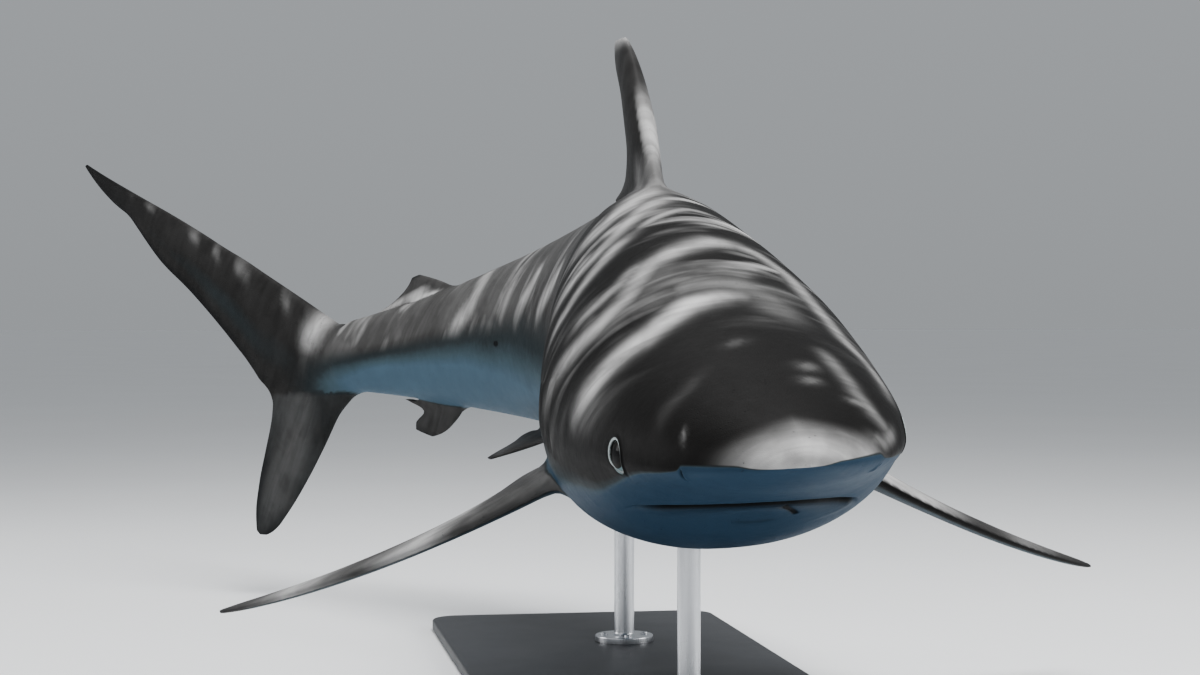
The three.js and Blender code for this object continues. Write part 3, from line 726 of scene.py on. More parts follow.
@dataclass
class SkinCage:
    """Coarse skin: the body's tube with each fin grown from an opening in it.

    spacing is the wanted distance between rows. The snout's rows crowd towards its tip, shoulder
    is a station that keeps a row, tail_rows lead into the upper lobe, and lower_end is the
    station where the lower lobe's opening ends.
    """

    trunk: TrunkForm
    upper_lobe: FinForm
    fins: tuple[FinForm, ...]
    spacing: float = 0.62
    snout_rows: int = 10
    snout_pitch: float = 0.2
    shoulder: float = 16.5
    tail_rows: int = 10
    lower_end: float = 80.0
    quads: list[tuple[int, ...]] = field(default_factory=list)
    points: list[Array] = field(default_factory=list)
    facts: list[Array] = field(default_factory=list)
    seams: list[Array] = field(default_factory=list)

    def stations(self) -> list[float]:
        """Stations of the body's rows.

        Returns:
            Stations close together at the snout, and even between the fins' roots.
        """
        rows = [(self.snout_pitch * k) ** 2 for k in range(1, self.snout_rows + 1)]
        root = self.upper_lobe.rows[0]
        keys = {self.shoulder, root, *(end for fin in self.fins for end in fin.rows if end < root)}
        for key in sorted(keys):
            count = max(round((key - rows[-1]) / self.spacing), 1)
            rows += list(np.linspace(rows[-1], key, count + 1)[1:])
        return rows

    def add(self, points: Array, facts: Array) -> list[int]:
        """Adds points to the cage.

        Args:
            points: unbent places.
            facts: what is known at them.

        Returns:
            The points' numbers.
        """
        start = sum(len(block) for block in self.points)
        self.points.append(points)
        self.facts.append(facts)
        return list(range(start, start + len(points)))

    def tube(self) -> tuple[list[list[int]], list[float]]:
        """Rows of the body and of the tail's upper lobe.

        Returns:
            The points' numbers row by row, and each row's station on its lower side.
        """
        angles = 2 * np.pi * np.arange(COLUMNS) / COLUMNS
        rows, marks = [], []
        for station in self.stations():
            points = self.trunk.section(np.full(COLUMNS, station), angles)
            rows.append(self.add(points, np.zeros((COLUMNS, 4))))
            marks.append(station)
        lobe = self.upper_lobe
        before = np.linspace(0, lobe.start, self.tail_rows + 1)
        chord = np.clip((1 - np.sin(angles)) / 2, 0, 1)
        blend = Rise(0, 2)
        for order in [*before, *lobe.orders(self.spacing)[1:]]:
            lead_x, lead_y, trail_x, trail_y, half, taper = lobe.rib(order)
            points = np.stack([lead_x + (trail_x - lead_x) * chord,
                               foil_half(chord, half, taper) * np.sign(np.cos(angles)),
                               lead_y + (trail_y - lead_y) * chord], -1)
            points[[COLUMNS // 4, 3 * COLUMNS // 4], 1] = 0
            share = np.full(COLUMNS, float(blend(np.array(order))))
            span = np.full(COLUMNS, order / (len(lobe.ribs) - 1))
            rows.append(self.add(points, np.stack([share, span, chord, np.sign(points[:, 1])], 1)))
            marks.append(self.lower_end if math.isclose(order, lobe.start) else float(trail_x))
        return rows, marks

    def grow_fin(self, fin: FinForm, rows: list[list[int]], first: int, last: int) -> None:
        """Grows a fin out of its opening in the body.

        Args:
            fin: the fin's form.
            rows: the points' numbers row by row.
            first: row of the opening's front edge.
            last: row of its rear edge.
        """
        def at(row: int, k: int) -> int:
            """Number of the point k columns from the fin's middle."""
            return rows[row][(fin.column + k) % COLUMNS]

        reach = fin.half_span
        bank = [*((first, k) for k in range(1, reach)),
                *((row, reach) for row in range(first, last + 1)),
                *((last, k) for k in range(reach - 1, 0, -1))]
        near, far = ([at(row, sense * k) for row, k in bank] for sense in (fin.sense, -fin.sense))
        ring = [at(first, 0), *near, at(last, 0), *far[::-1]]
        size = len(ring)
        self.seams.append(np.vstack(self.points)[ring])
        for order in fin.orders(self.spacing):
            full = fin.ring(order, size // 2 - 1)
            span = np.full(size, (order - fin.start) / (len(fin.ribs) - 1 - fin.start))
            facts = np.stack([np.ones(size), span, full[:, 3], full[:, 4]], 1)
            new = self.add(full[:, :3], facts)
            self.quads += [(ring[i], ring[i - 1], new[i - 1], new[i]) for i in range(size)]
            ring = new
        for i in range(size // 2):
            corners = [ring[i], ring[i + 1], ring[(size - i - 1) % size], ring[(size - i) % size]]
            self.quads.append(tuple(dict.fromkeys(corners)))

    def build(self) -> Surface:
        """Builds the whole cage.

        Returns:
            The cage as outward triangles.
        """
        snout = self.add(np.array([[0.0, 0.0, self.trunk.snout_level]]), np.zeros((1, 4)))[0]
        rows, marks = self.tube()
        taken = set()
        for fin in self.fins:
            first, last = (int(np.argmin(np.abs(np.array(marks) - end))) for end in fin.rows)
            taken |= {(row, (fin.column + k) % COLUMNS) for row in range(first, last)
                      for k in range(-fin.half_span, fin.half_span)}
            self.grow_fin(fin, rows, first, last)
        for row, (near, far) in enumerate(zip(rows[:-1], rows[1:])):
            for k in range(COLUMNS):
                if (row, k) not in taken:
                    after = (k + 1) % COLUMNS
                    self.quads.append((near[k], near[after], far[after], far[k]))
        self.quads += [(snout, rows[0][(k + 1) % COLUMNS], rows[0][k]) for k in range(COLUMNS)]
        tip = np.vstack(self.points)[rows[-1]].mean(0, keepdims=True)
        end = self.add(tip, np.array([[1.0, 1.0, 0.5, 0.0]]))[0]
        self.quads += [(end, rows[-1][k], rows[-1][(k + 1) % COLUMNS]) for k in range(COLUMNS)]
        return self.triangles()

    def triangles(self) -> Surface:
        """Turns the quads outwards and cuts them into triangles.

        Returns:
            The cage's surface.
        """
        points, facts = np.vstack(self.points), np.vstack(self.facts)
        cage = bmesh.new()
        corners = [cage.verts.new(point) for point in points]
        for quad in self.quads:
            cage.faces.new([corners[i] for i in quad])
        loose = [edge for edge in cage.edges if len(edge.link_faces) != 2]
        LOG.info("cage: %d faces, %d open edges", len(cage.faces), len(loose))
        bmesh.ops.recalc_face_normals(cage, faces=cage.faces)
        bmesh.ops.triangulate(cage, faces=cage.faces, quad_method="SHORT_EDGE")
        cage.verts.index_update()
        faces = np.array([[vert.index for vert in face.verts] for face in cage.faces])
        cage.free()
        return Surface(points, facts, faces)


# ---------------------------------------------------------------- detail on the skin
@dataclass(frozen=True)
class LocalFrame:
    """Axes on the body's surface, for detail that is drawn there in millimetres."""

    centre: Array
    along: Array
    across: Array
    out: Array

    def measure(self, lie: Array, hand: Hand) -> tuple[Array, Array, Array]:
        """Places in millimetres along, across and out of the surface, on the given side."""
        offset = (hand.mirror(lie) - self.centre) / MILLIMETRE
        return offset @ self.along, offset @ self.across, offset @ self.out

    def turned(self, angle: float) -> "LocalFrame":
        """Turns the first two axes.

        Args:
            angle: the turn in degrees.

        Returns:
            The turned frame.
        """
        c, s = math.cos(math.radians(angle)), math.sin(math.radians(angle))
        return LocalFrame(self.centre, c * self.along + s * self.across,
                          c * self.across - s * self.along, self.out)


def frame_on(trunk: TrunkForm, station: float, angle: float, near: float = 0.02) -> LocalFrame:
    """Frame on the left side of the body: back along it, up round it and out.

    Args:
        trunk: the body's form.
        station: distance behind the snout tip.
        angle: angle round the body in degrees.
        near: how far off the points lie that give the axes.

    Returns:
        The frame.
    """
    spots = trunk.section(np.array([station, station + near, station]),
                          np.radians(np.array([angle, angle, angle + near])))
    along, across = unit_vectors(spots[1] - spots[0]), unit_vectors(spots[2] - spots[0])
    out = unit_vectors(np.cross(across, along))
    out = out if out[1] > 0 else -out
    return LocalFrame(spots[0], along, unit_vectors(across - (across @ along) * along), out)


@dataclass
class Effect:
    """What details do to the skin: relief in mm, dark marks and painted shade, and pale paint."""

    relief: Array
    ink: Array
    pale: Array

    @classmethod
    def none(cls, lie: Array) -> "Effect":
        """No effect at unbent places."""
        return cls(*(np.zeros(len(lie)) for _ in range(3)))


class Detail:
    """Detail on the skin. gap() tells where fine triangles are needed."""

    finest: float = 0.9
    everywhere: bool = False  # else only on the front of the body

    def gap(self, lie: Array) -> Array:
        """Distance in mm from where the detail needs its finest triangles."""
        raise NotImplementedError

    def effect(self, lie: Array) -> Effect:
        """The detail's relief and paint at unbent places."""
        raise NotImplementedError


@dataclass(frozen=True)
class EyeOpening(Detail):
    """Opening between the lids, with a raised pale rim, a socket behind it and a soft furrow.

    lean turns the opening's top back. Its lower half is narrower by narrowing, and lies set_back
    mm further back. share is 1 at the opening's edge and beyond the distance in mm outside it.
    """

    trunk: TrunkForm
    station: float = 7.5
    angle: float = 1
    lean: float = 25
    half_length: float = 11.5
    half_height: float = 15.6
    narrowing: float = 0.28
    set_back: float = 2.6
    mean_radius: float = 13.0
    reach: float = 40.0
    socket: float = 6.5
    socket_wall: Rise = Rise(0.99, 0.87)
    rim: Swell = Swell(0.8, 1.5, 1.3)
    furrow: Swell = Swell(0.7, 5.0, 2.4)
    # painted shade: a dark ring in the furrow, strongest behind the eye, and the socket's wall
    shade_behind: Rise = Rise(-9, 3)
    shade_ring: Swell = Swell(1.0, 3.8, 1.5)
    socket_shade: Rise = Rise(0.985, 0.955)
    pale_inside: Rise = Rise(0.955, 0.985)
    pale_outside: Rise = Rise(1.8, 1.0)
    # painted shade dims the pale rim at its front and low down
    shade_front: Swell = Swell(0.6, -6, 8)
    shade_low: Rise = Rise(-14, -4)
    finest: float = 0.55

    def place(self) -> LocalFrame:
        """Frame of the opening: along points back, across points up along its lean."""
        return frame_on(self.trunk, self.station, self.angle).turned(-self.lean)

    def ring_share(self, lie: Array, hand: Hand) -> Array:
        """Distance from the opening's middle, as a share of the way to its edge.

        Args:
            lie: unbent places.
            hand: which eye.

        Returns:
            0 in the middle, 1 at the edge and FAR where another part of the body is meant.
        """
        along, tall, out = self.place().measure(lie, hand)
        low = Rise(0, self.half_height)(-tall)
        width = self.half_length * (1 - self.narrowing * low)
        share = np.hypot((along + self.set_back * low) / width, tall / self.half_height)
        return np.where(np.abs(out) < self.reach, share, FAR)

    def gap(self, lie: Array) -> Array:
        """Distance in mm from the opening's edge."""
        shares = [self.ring_share(lie, hand) for hand in Hand]
        return np.minimum(*(np.abs(share - 1.02) * self.mean_radius for share in shares)) - 1.6

    def effect(self, lie: Array) -> Effect:
        """Socket, rim and furrow of both eyes.

        Args:
            lie: unbent places.

        Returns:
            Relief, painted shade behind the eye and in its socket, and the pale rim, which painted
            shade dims at its front and low down.
        """
        done = Effect.none(lie)
        for hand in Hand:
            share = self.ring_share(lie, hand)
            beyond = (share - 1) * self.mean_radius
            done.relief += (-self.socket * self.socket_wall(share) + self.rim(beyond)
                            - self.furrow(beyond))
            along, tall, _ = self.place().measure(lie, hand)
            # painted shade round the eye and in the socket
            behind = 0.2 + 0.7 * self.shade_behind(along - 0.3 * tall)
            done.ink += behind * self.shade_ring(beyond) + self.socket_shade(share)
            # painted shade on the pale rim
            bright = 1 - Rise(0, 6)(-along) * self.shade_front(tall)
            bright *= 0.6 + 0.4 * self.shade_low(tall)
            done.pale += bright * self.pale_inside(share) * self.pale_outside(beyond)
        return done


@dataclass(frozen=True)
class Nostrils(Detail):
    """Slanting slits under the snout, each with a small flap over its front edge."""

    trunk: TrunkForm
    right: Pair = (3.4, -16)  # station and angle of the slit's middle
    left: Pair = (2.95, -29)
    slant: float = -86
    half_length: float = 7.0
    half_width: float = 2.4
    reach: float = 14.0
    depth: float = 5.0
    wall: Rise = Rise(1.3, 0.3)
    # dark paint in the slit is painted shade
    dark: Rise = Rise(1.15, 0.6)
    flap: float = 1.5
    flap_place: float = -3.6
    flap_half: Pair = (5.5, 2.4)
    finest: float = 0.8

    def measure(self, lie: Array, hand: Hand) -> tuple[Array, Array, Array]:
        """Places along the slit, across it and out of the surface."""
        station, angle = self.right if hand is Hand.RIGHT else self.left
        return frame_on(self.trunk, station, angle).turned(self.slant).measure(lie, hand)

    def gap(self, lie: Array) -> Array:
        """Distance from the slits.

        Args:
            lie: unbent places.

        Returns:
            Distances in mm.
        """
        gaps = []
        for hand in Hand:
            along, across, out = self.measure(lie, hand)
            over = np.maximum(np.abs(along) - self.half_length, 0)
            gaps.append(np.hypot(np.hypot(over, across), np.maximum(np.abs(out) - 8, 0)) - 3)
        return np.minimum(*gaps)

    def effect(self, lie: Array) -> Effect:
        """Slit and flap of both nostrils.

        Args:
            lie: unbent places.

        Returns:
            Relief, and dark paint for the shade in the slits.
        """
        done = Effect.none(lie)
        for hand in Hand:
            along, across, out = self.measure(lie, hand)
            here = np.abs(out) < self.reach
            share = np.hypot(along / self.half_length, across / self.half_width)
            length, width = self.flap_half
            flap = np.hypot(along / length, (across - self.flap_place) / width)
            done.relief += here * (self.flap * bell(flap, 1.0) - self.depth * self.wall(share))
            done.ink += here * self.dark(share)
        return done


@dataclass(frozen=True)
class Mouth(Detail):
    """Closed crescent of the mouth: a groove behind the snout's lip, and the jaw's low swell.

    arch is a row of (side, station) points from the middle to the corner, and shift moves it to
    the right. Distances from the line are in mm, positive on the jaw.
    """

    trunk: TrunkForm
    arch: Table = ((0.0, 6.05), (1.3, 6.4), (2.4, 7.15), (3.2, 8.0), (3.9, 8.85), (4.6, 9.8),
                   (5.0, 10.9))
    shift: float = -0.35
    steps: int = 40
    groove: Swell = Swell(5.0, 0.4, 1.6)
    lip: Swell = Swell(0.8, -3.4, 2.4)
    jaw_swell: float = 4.2
    jaw_front: Rise = Rise(0.5, 7.5)
    jaw_rear: Rise = Rise(75, 9)
    right_corner: Rise = Rise(0, 0.16)
    left_corner: Rise = Rise(1, 0.93)
    # painted shade in the groove of the mouth's line
    line_front: Rise = Rise(-0.9, 0.3)
    line_rear: Swell = Swell(1.0, 1.4, 2.8)
    shade_middle: Swell = Swell(0.45, 0.6, 4.2)
    shade_reach: float = 17.0

    def station(self, side: Array) -> Array:
        """Station of the mouth's line at distances from its middle."""
        return MonotoneCurve(*zip(*self.arch))(side)

    def line(self) -> Array:
        """The mouth's line on the underside, from its right corner to its left one."""
        side = np.linspace(-self.arch[-1][0], self.arch[-1][0], 2 * self.steps + 1)
        return self.trunk.under_side(self.station(np.abs(side)), side + self.shift)

    def measure(self, lie: Array) -> tuple[Array, Array]:
        """Places against the mouth's line.

        Args:
            lie: unbent places.

        Returns:
            Distances in mm, and how open the mouth's line is there, 0 far from it.
        """
        near = (lie[:, 0] > 4.5) & (lie[:, 0] < 13) & (lie[:, 2] < 0.3)
        distance, share = np.full(len(lie), FAR), np.zeros(len(lie))
        if near.any():
            distance[near], share[near] = line_distance(lie[near], self.line())
            distance[near] /= MILLIMETRE
        side = np.abs(lie[:, 1] - self.shift)
        jaw = (lie[:, 0] > self.station(side)) & (side < self.arch[-1][0])
        end = near * self.right_corner(share) * self.left_corner(share)
        return np.where(jaw, distance, -distance), end

    def gap(self, lie: Array) -> Array:
        """Distance in mm from the mouth's line."""
        return np.abs(self.measure(lie)[0]) - 3

    def effect(self, lie: Array) -> Effect:
        """Groove, lip and jaw.

        Args:
            lie: unbent places.

        Returns:
            Relief, painted shade in the line and a soft painted shadow behind it.
        """
        reach, end = self.measure(lie)
        done = Effect.none(lie)
        swell = self.jaw_swell * self.jaw_front(reach) * self.jaw_rear(reach) ** 2
        done.relief = end * (self.lip(reach) - self.groove(reach) + swell)
        # painted shadow of the upper lip on the jaw, strongest in the middle
        shade = (0.15 + self.shade_middle(lie[:, 1])) * bell(reach, self.shade_reach) * (reach > 0)
        done.ink = end * np.clip(self.line_front(reach) * self.line_rear(reach) + shade, 0, 1)
        return done


@dataclass(frozen=True)
class Gills(Detail):
    """Five upright slits on each side, each under the rear edge of a low flap.

    Each slit is shorter than the one before it by shorten at both ends, leans back towards its
    top and bows forward by bow in its middle.
    """

    count: int = 5
    first: float = 17.7
    pitch: float = 1.25
    top: float = 2.5
    bottom: float = -1.3
    shorten: float = 0.2
    lean: float = 8
    bow: float = 0.16
    inner: float = 3.0  # side distance within which there are none
    ends: Rise = Rise(1.04, 0.86)
    groove: Swell = Swell(5.0, 0.9, 1.3)
    hollow: Swell = Swell(0.9, 5, 4)
    flap: Swell = Swell(1.7, 0, 11)
    # dark paint in the slits is painted shade
    dark: Swell = Swell(1.15, 0.9, 1.25)
    finest: float = 1.1

    def slits(self, lie: Array) -> tuple[Array, Array]:
        """Places against the nearest slit.

        Args:
            lie: unbent places.

        Returns:
            Distances behind it in mm, and the share of it that is open there.
        """
        best, open_share = np.full(len(lie), FAR), np.zeros(len(lie))
        for i in range(self.count):
            top, bottom = self.top - i * self.shorten, self.bottom + i * self.shorten
            middle, half = (top + bottom) / 2, (top - bottom) / 2
            height = (lie[:, 2] - middle) / half
            slant = math.tan(math.radians(self.lean)) * height * half
            centre = self.first + i * self.pitch + slant - self.bow * (1 - height**2)
            behind = (lie[:, 0] - centre) / MILLIMETRE
            over = np.maximum(np.abs(height) - 1, 0) * half / MILLIMETRE
            closer = np.hypot(behind, over) < np.abs(best)
            best = np.where(closer, behind, best)
            open_share = np.where(closer, self.ends(np.abs(height)), open_share)
        away = np.abs(lie[:, 1]) < self.inner
        return np.where(away, FAR, best), np.where(away, 0, open_share)

    def gap(self, lie: Array) -> Array:
        """Distance in mm from the slits."""
        behind, share = self.slits(lie)
        return np.where(share > 0, np.abs(behind) - 2.5, 30.0)

    def effect(self, lie: Array) -> Effect:
        """Slits and their flaps.

        Args:
            lie: unbent places.

        Returns:
            Relief, and dark paint for the shade in the slits.
        """
        behind, share = self.slits(lie)
        done = Effect.none(lie)
        flap = self.flap(behind) * (behind < 0)
        done.relief = share * (flap - self.groove(behind) - self.hollow(behind))
        done.ink = share * np.clip(self.dark(behind), 0, 1)
        return done


@dataclass(frozen=True)
class BackAndBelly(Detail):
    """Low ridge between the back fins, the pit over the tail's root and the vent."""

    ridge: float = 1.7
    ridge_width: float = 0.2
    ridge_front: Rise = Rise(45, 49)
    ridge_rear: Rise = Rise(63, 60)
    pit: float = 4.0
    pit_station: float = 73.55
    pit_half: Pair = (0.28, 0.75)
    pit_fine: float = 73.6  # station about which the triangles are fine
    crest: Pair = (44.0, 63.5)  # stations between which the ridge's crest is fine
    vent: float = 1.6
    vent_station: float = 52.6
    vent_half: Pair = (0.7, 0.13)
    everywhere: bool = True

    def gap(self, lie: Array) -> Array:
        """Distance from the pit and the ridge's crest.

        Args:
            lie: unbent places.

        Returns:
            Distances in mm.
        """
        station, side, up = lie.T
        pit = np.hypot(station - self.pit_fine, side) + (up < 1) * FAR
        on_crest = (up > 1) & (station > self.crest[0]) & (station < self.crest[1])
        crest = np.where(on_crest, np.abs(side), FAR)
        return np.minimum(pit / MILLIMETRE - 4, crest / MILLIMETRE + 4)

    def effect(self, lie: Array) -> Effect:
        """Ridge, pit and vent.

        Args:
            lie: unbent places.

        Returns:
            Relief, and dark paint for the shade in the pit and the vent.
        """
        station, side, up = lie.T
        done = Effect.none(lie)
        crest = self.ridge_front(station) * self.ridge_rear(station) * bell(side, self.ridge_width)
        pit = bell(station - self.pit_station - 0.5 * side**2, self.pit_half[0])
        pit *= bell(side, self.pit_half[1]) * (up > 1)
        vent = bell(station - self.vent_station, self.vent_half[0])
        vent *= bell(side, self.vent_half[1]) * (up < 0)
        done.relief = self.ridge * crest * (up > 1) - self.pit * pit - self.vent * vent
        # painted shade in the pit and the vent
        done.ink = np.clip(0.8 * pit + 0.35 * vent, 0, 1)
        return done


@dataclass(frozen=True)
class Scars(Detail):
    """Dark scar and a faint crease on the lower jaw, and a dark dot low on the right flank.

    jaw and chin are lines of (station, side), dot a (station, up).
    """

    jaw: Table = ((6.7, 0.62), (7.3, 0.86), (8.0, 1.15), (8.8, 1.5))
    chin: Table = ((9.3, -0.75), (9.4, -0.1), (9.3, 0.55))
    crease: Swell = Swell(0.4, 0, 3.5)
    scar_depth: float = 0.8
    dot: Pair = (55.9, 0.72)
    dot_edge: Rise = Rise(4.8, 3.2)
    finest: float = 1.6
    everywhere: bool = True

    @staticmethod
    def on_jaw(lie: Array, line: Table) -> tuple[Array, Array]:
        """Places against a line on the jaw.

        Args:
            lie: unbent places.
            line: the line.

        Returns:
            Distances in mm and the shares along the line.
        """
        under = (lie[:, 0] > 5) & (lie[:, 0] < 11) & (lie[:, 2] < -1)
        distance, share = np.full(len(lie), FAR), np.zeros(len(lie))
        if under.any():
            distance[under], share[under] = line_distance(lie[under, :2], np.array(line))
        return distance / MILLIMETRE, share

    def from_dot(self, lie: Array) -> Array:
        """Distance in mm from the dot on the right flank."""
        distance = np.hypot((lie[:, 0] - self.dot[0]) / 2, lie[:, 2] - self.dot[1])
        return np.where(lie[:, 1] < 0, distance, FAR) / MILLIMETRE

    def gap(self, lie: Array) -> Array:
        """Distance in mm from the sharp marks."""
        return np.minimum(self.on_jaw(lie, self.jaw)[0], self.from_dot(lie)) - 3

    def effect(self, lie: Array) -> Effect:
        """Dark paint of the marks and the scar's shallow dent.

        Args:
            lie: unbent places.

        Returns:
            Relief and dark paint.
        """
        done = Effect.none(lie)
        scar, share = self.on_jaw(lie, self.jaw)
        line = Rise(5.6 - 1.8 * share, 3.4 - share)(scar)
        crease = self.crease(self.on_jaw(lie, self.chin)[0])
        done.relief = -self.scar_depth * line - crease
        done.ink = np.maximum.reduce((line, crease, self.dot_edge(self.from_dot(lie))))
        return done


# ---------------------------------------------------------------- finishes
@dataclass(frozen=True)
class Signal:
    """Output of a shader node. Sums and products of signals add Math nodes."""

    recipe: "Recipe"
    socket: NodeSocket

    def math(self, operation: str, *others: "Signal | float") -> "Signal":
        """Math node on this value and the others, in that order."""
        return self.recipe.node("ShaderNodeMath", {"operation": operation},
                                dict(enumerate((self, *others))))

    def __add__(self, other: "Signal | float") -> "Signal":
        """Sum."""
        return self.math("ADD", other)

    __radd__ = __add__

    def __sub__(self, other: "Signal | float") -> "Signal":
        """Difference."""
        return self.math("SUBTRACT", other)

    def __rsub__(self, other: float) -> "Signal":
        """Difference from a number."""
        return self.math("MULTIPLY_ADD", -1.0, other)

    def __mul__(self, other: "Signal | float") -> "Signal":
        """Product."""
        return self.math("MULTIPLY", other)

    __rmul__ = __mul__

    def __truediv__(self, other: "Signal | float") -> "Signal":
        """Quotient."""
        return self.math("DIVIDE", other)

    def step(self, low: float, high: float) -> "Signal":
        """Smooth rise between two values.

        Args:
            low: where it is 0.
            high: where it is 1; it may be the smaller one.

        Returns:
            The rise.
        """
        settings = {"interpolation_type": "SMOOTHSTEP", "clamp": True}
        if low <= high:
            return self.recipe.node("ShaderNodeMapRange", settings, {0: self, 1: low, 2: high})
        return 1 - self.recipe.node("ShaderNodeMapRange", settings, {0: self, 1: high, 2: low})


class Recipe:
    """Node material built by name: every node comes from node()."""

    def __init__(self, name: str) -> None:
        """Starts a material with a Principled shader on its output.

        Args:
            name: the material's name.
        """
        self.material = bpy.data.materials.new(name)
        self.material.use_nodes = True
        self.tree = self.material.node_tree
        self.shader = next(n for n in self.tree.nodes if n.type == "BSDF_PRINCIPLED")

    def feed(self, socket: NodeSocket, value: Any) -> None:
        """Links a signal to a socket, or sets a constant on it.

        Args:
            socket: the input.
            value: a signal, a number, a vector or a colour.
        """
        if isinstance(value, Signal):
            self.tree.links.new(value.socket, socket)
        elif socket.type == "RGBA":
            socket.default_value = (*value, 1)
        else:
            socket.default_value = value

    def node(self, kind: str, settings: dict[str, Any] | None = None,
             inputs: dict[int | str, Any] | None = None, output: int | str = 0) -> Signal:
        """Adds a node.

        Args:
            kind: the node's type.
            settings: its properties, with a ramp's stops as (place, colour) pairs.
            inputs: values or signals by socket number or name.
            output: the output that is wanted.

        Returns:
            The output as a signal.
        """
        node = self.tree.nodes.new(kind)
        for name, value in (settings or {}).items():
            if name == "stops":
                self.set_stops(node.color_ramp, value)
            else:
                setattr(node, name, value)
        for place, value in (inputs or {}).items():
            self.feed(node.inputs[place], value)
        return Signal(self, node.outputs[output])

    @staticmethod
    def set_stops(ramp: bpy.types.ColorRamp, stops: Sequence[tuple[float, Colour]]) -> None:
        """Gives a colour ramp its stops.

        Args:
            ramp: the ramp.
            stops: (place, colour) pairs.
        """
        while len(ramp.elements) < len(stops):
            ramp.elements.new(0.5)
        for element, (place, colour) in zip(ramp.elements, stops):
            element.position, element.color = place, (*colour, 1)

    def attribute(self, name: str, output: str = "Fac") -> Signal:
        """Value stored at the points of the piece."""
        return self.node("ShaderNodeAttribute", {"attribute_name": name}, output=output)

    def place(self) -> Signal:
        """Object coordinates, in metres."""
        return self.node("ShaderNodeTexCoord", output="Object")

    def part(self, vector: Signal, axis: str) -> Signal:
        """X, Y or Z of a vector."""
        return self.node("ShaderNodeSeparateXYZ", None, {0: vector}, axis)

    def scaled(self, vector: Signal, scale: Colour) -> Signal:
        """A vector stretched along its axes."""
        return self.node("ShaderNodeVectorMath", {"operation": "MULTIPLY"}, {0: vector, 1: scale})

    def noise(self, vector: Signal, scale: float, detail: float = 3, rough: float = 0.5,
              distortion: float = 0) -> Signal:
        """Adds a noise pattern.

        Args:
            vector: where it is read.
            scale: how many patches it has to the metre.
            detail: layers of finer noise.
            rough: strength of the finer layers.
            distortion: how much it is stirred.

        Returns:
            Values from 0 to 1 about 0.5.
        """
        return self.node("ShaderNodeTexNoise", {"noise_dimensions": "3D"},
                         {"Vector": vector, "Scale": scale, "Detail": detail, "Roughness": rough,
                          "Distortion": distortion})

    def mix(self, share: Signal, first: Signal | Colour, second: Signal | Colour) -> Signal:
        """Colour between two, the second one at share 1; sockets 6 and 7 take the colours."""
        return self.node("ShaderNodeMix", {"data_type": "RGBA"}, {0: share, 6: first, 7: second}, 2)

    def tinted(self, colour: Signal | Colour, amount: Signal) -> Signal:
        """A colour made lighter or darker by an amount about 1."""
        return self.node("ShaderNodeVectorMath", {"operation": "SCALE"},
                         {0: colour, "Scale": amount})

    def finish(self, colour: Signal, roughness: Signal | float, relief: Signal | None = None,
               distance: float = 0.001, **constants: float) -> Material:
        """Connects the shader.

        Args:
            colour: base colour.
            roughness: roughness.
            relief: height of the fine relief, from 0 to 1.
            distance: depth of the relief in metres.
            constants: other sockets of the shader, with _ for spaces.

        Returns:
            The material.
        """
        values: dict[str, Any] = {"Base Color": colour, "Roughness": roughness}
        if relief is not None:
            values["Normal"] = self.node("ShaderNodeBump", None,
                                         {"Height": relief, "Strength": 1.0, "Distance": distance},
                                         "Normal")
        values.update({name.replace("_", " "): value for name, value in constants.items()})
        for name, value in values.items():
            self.feed(self.shader.inputs[name], value)
        return self.material


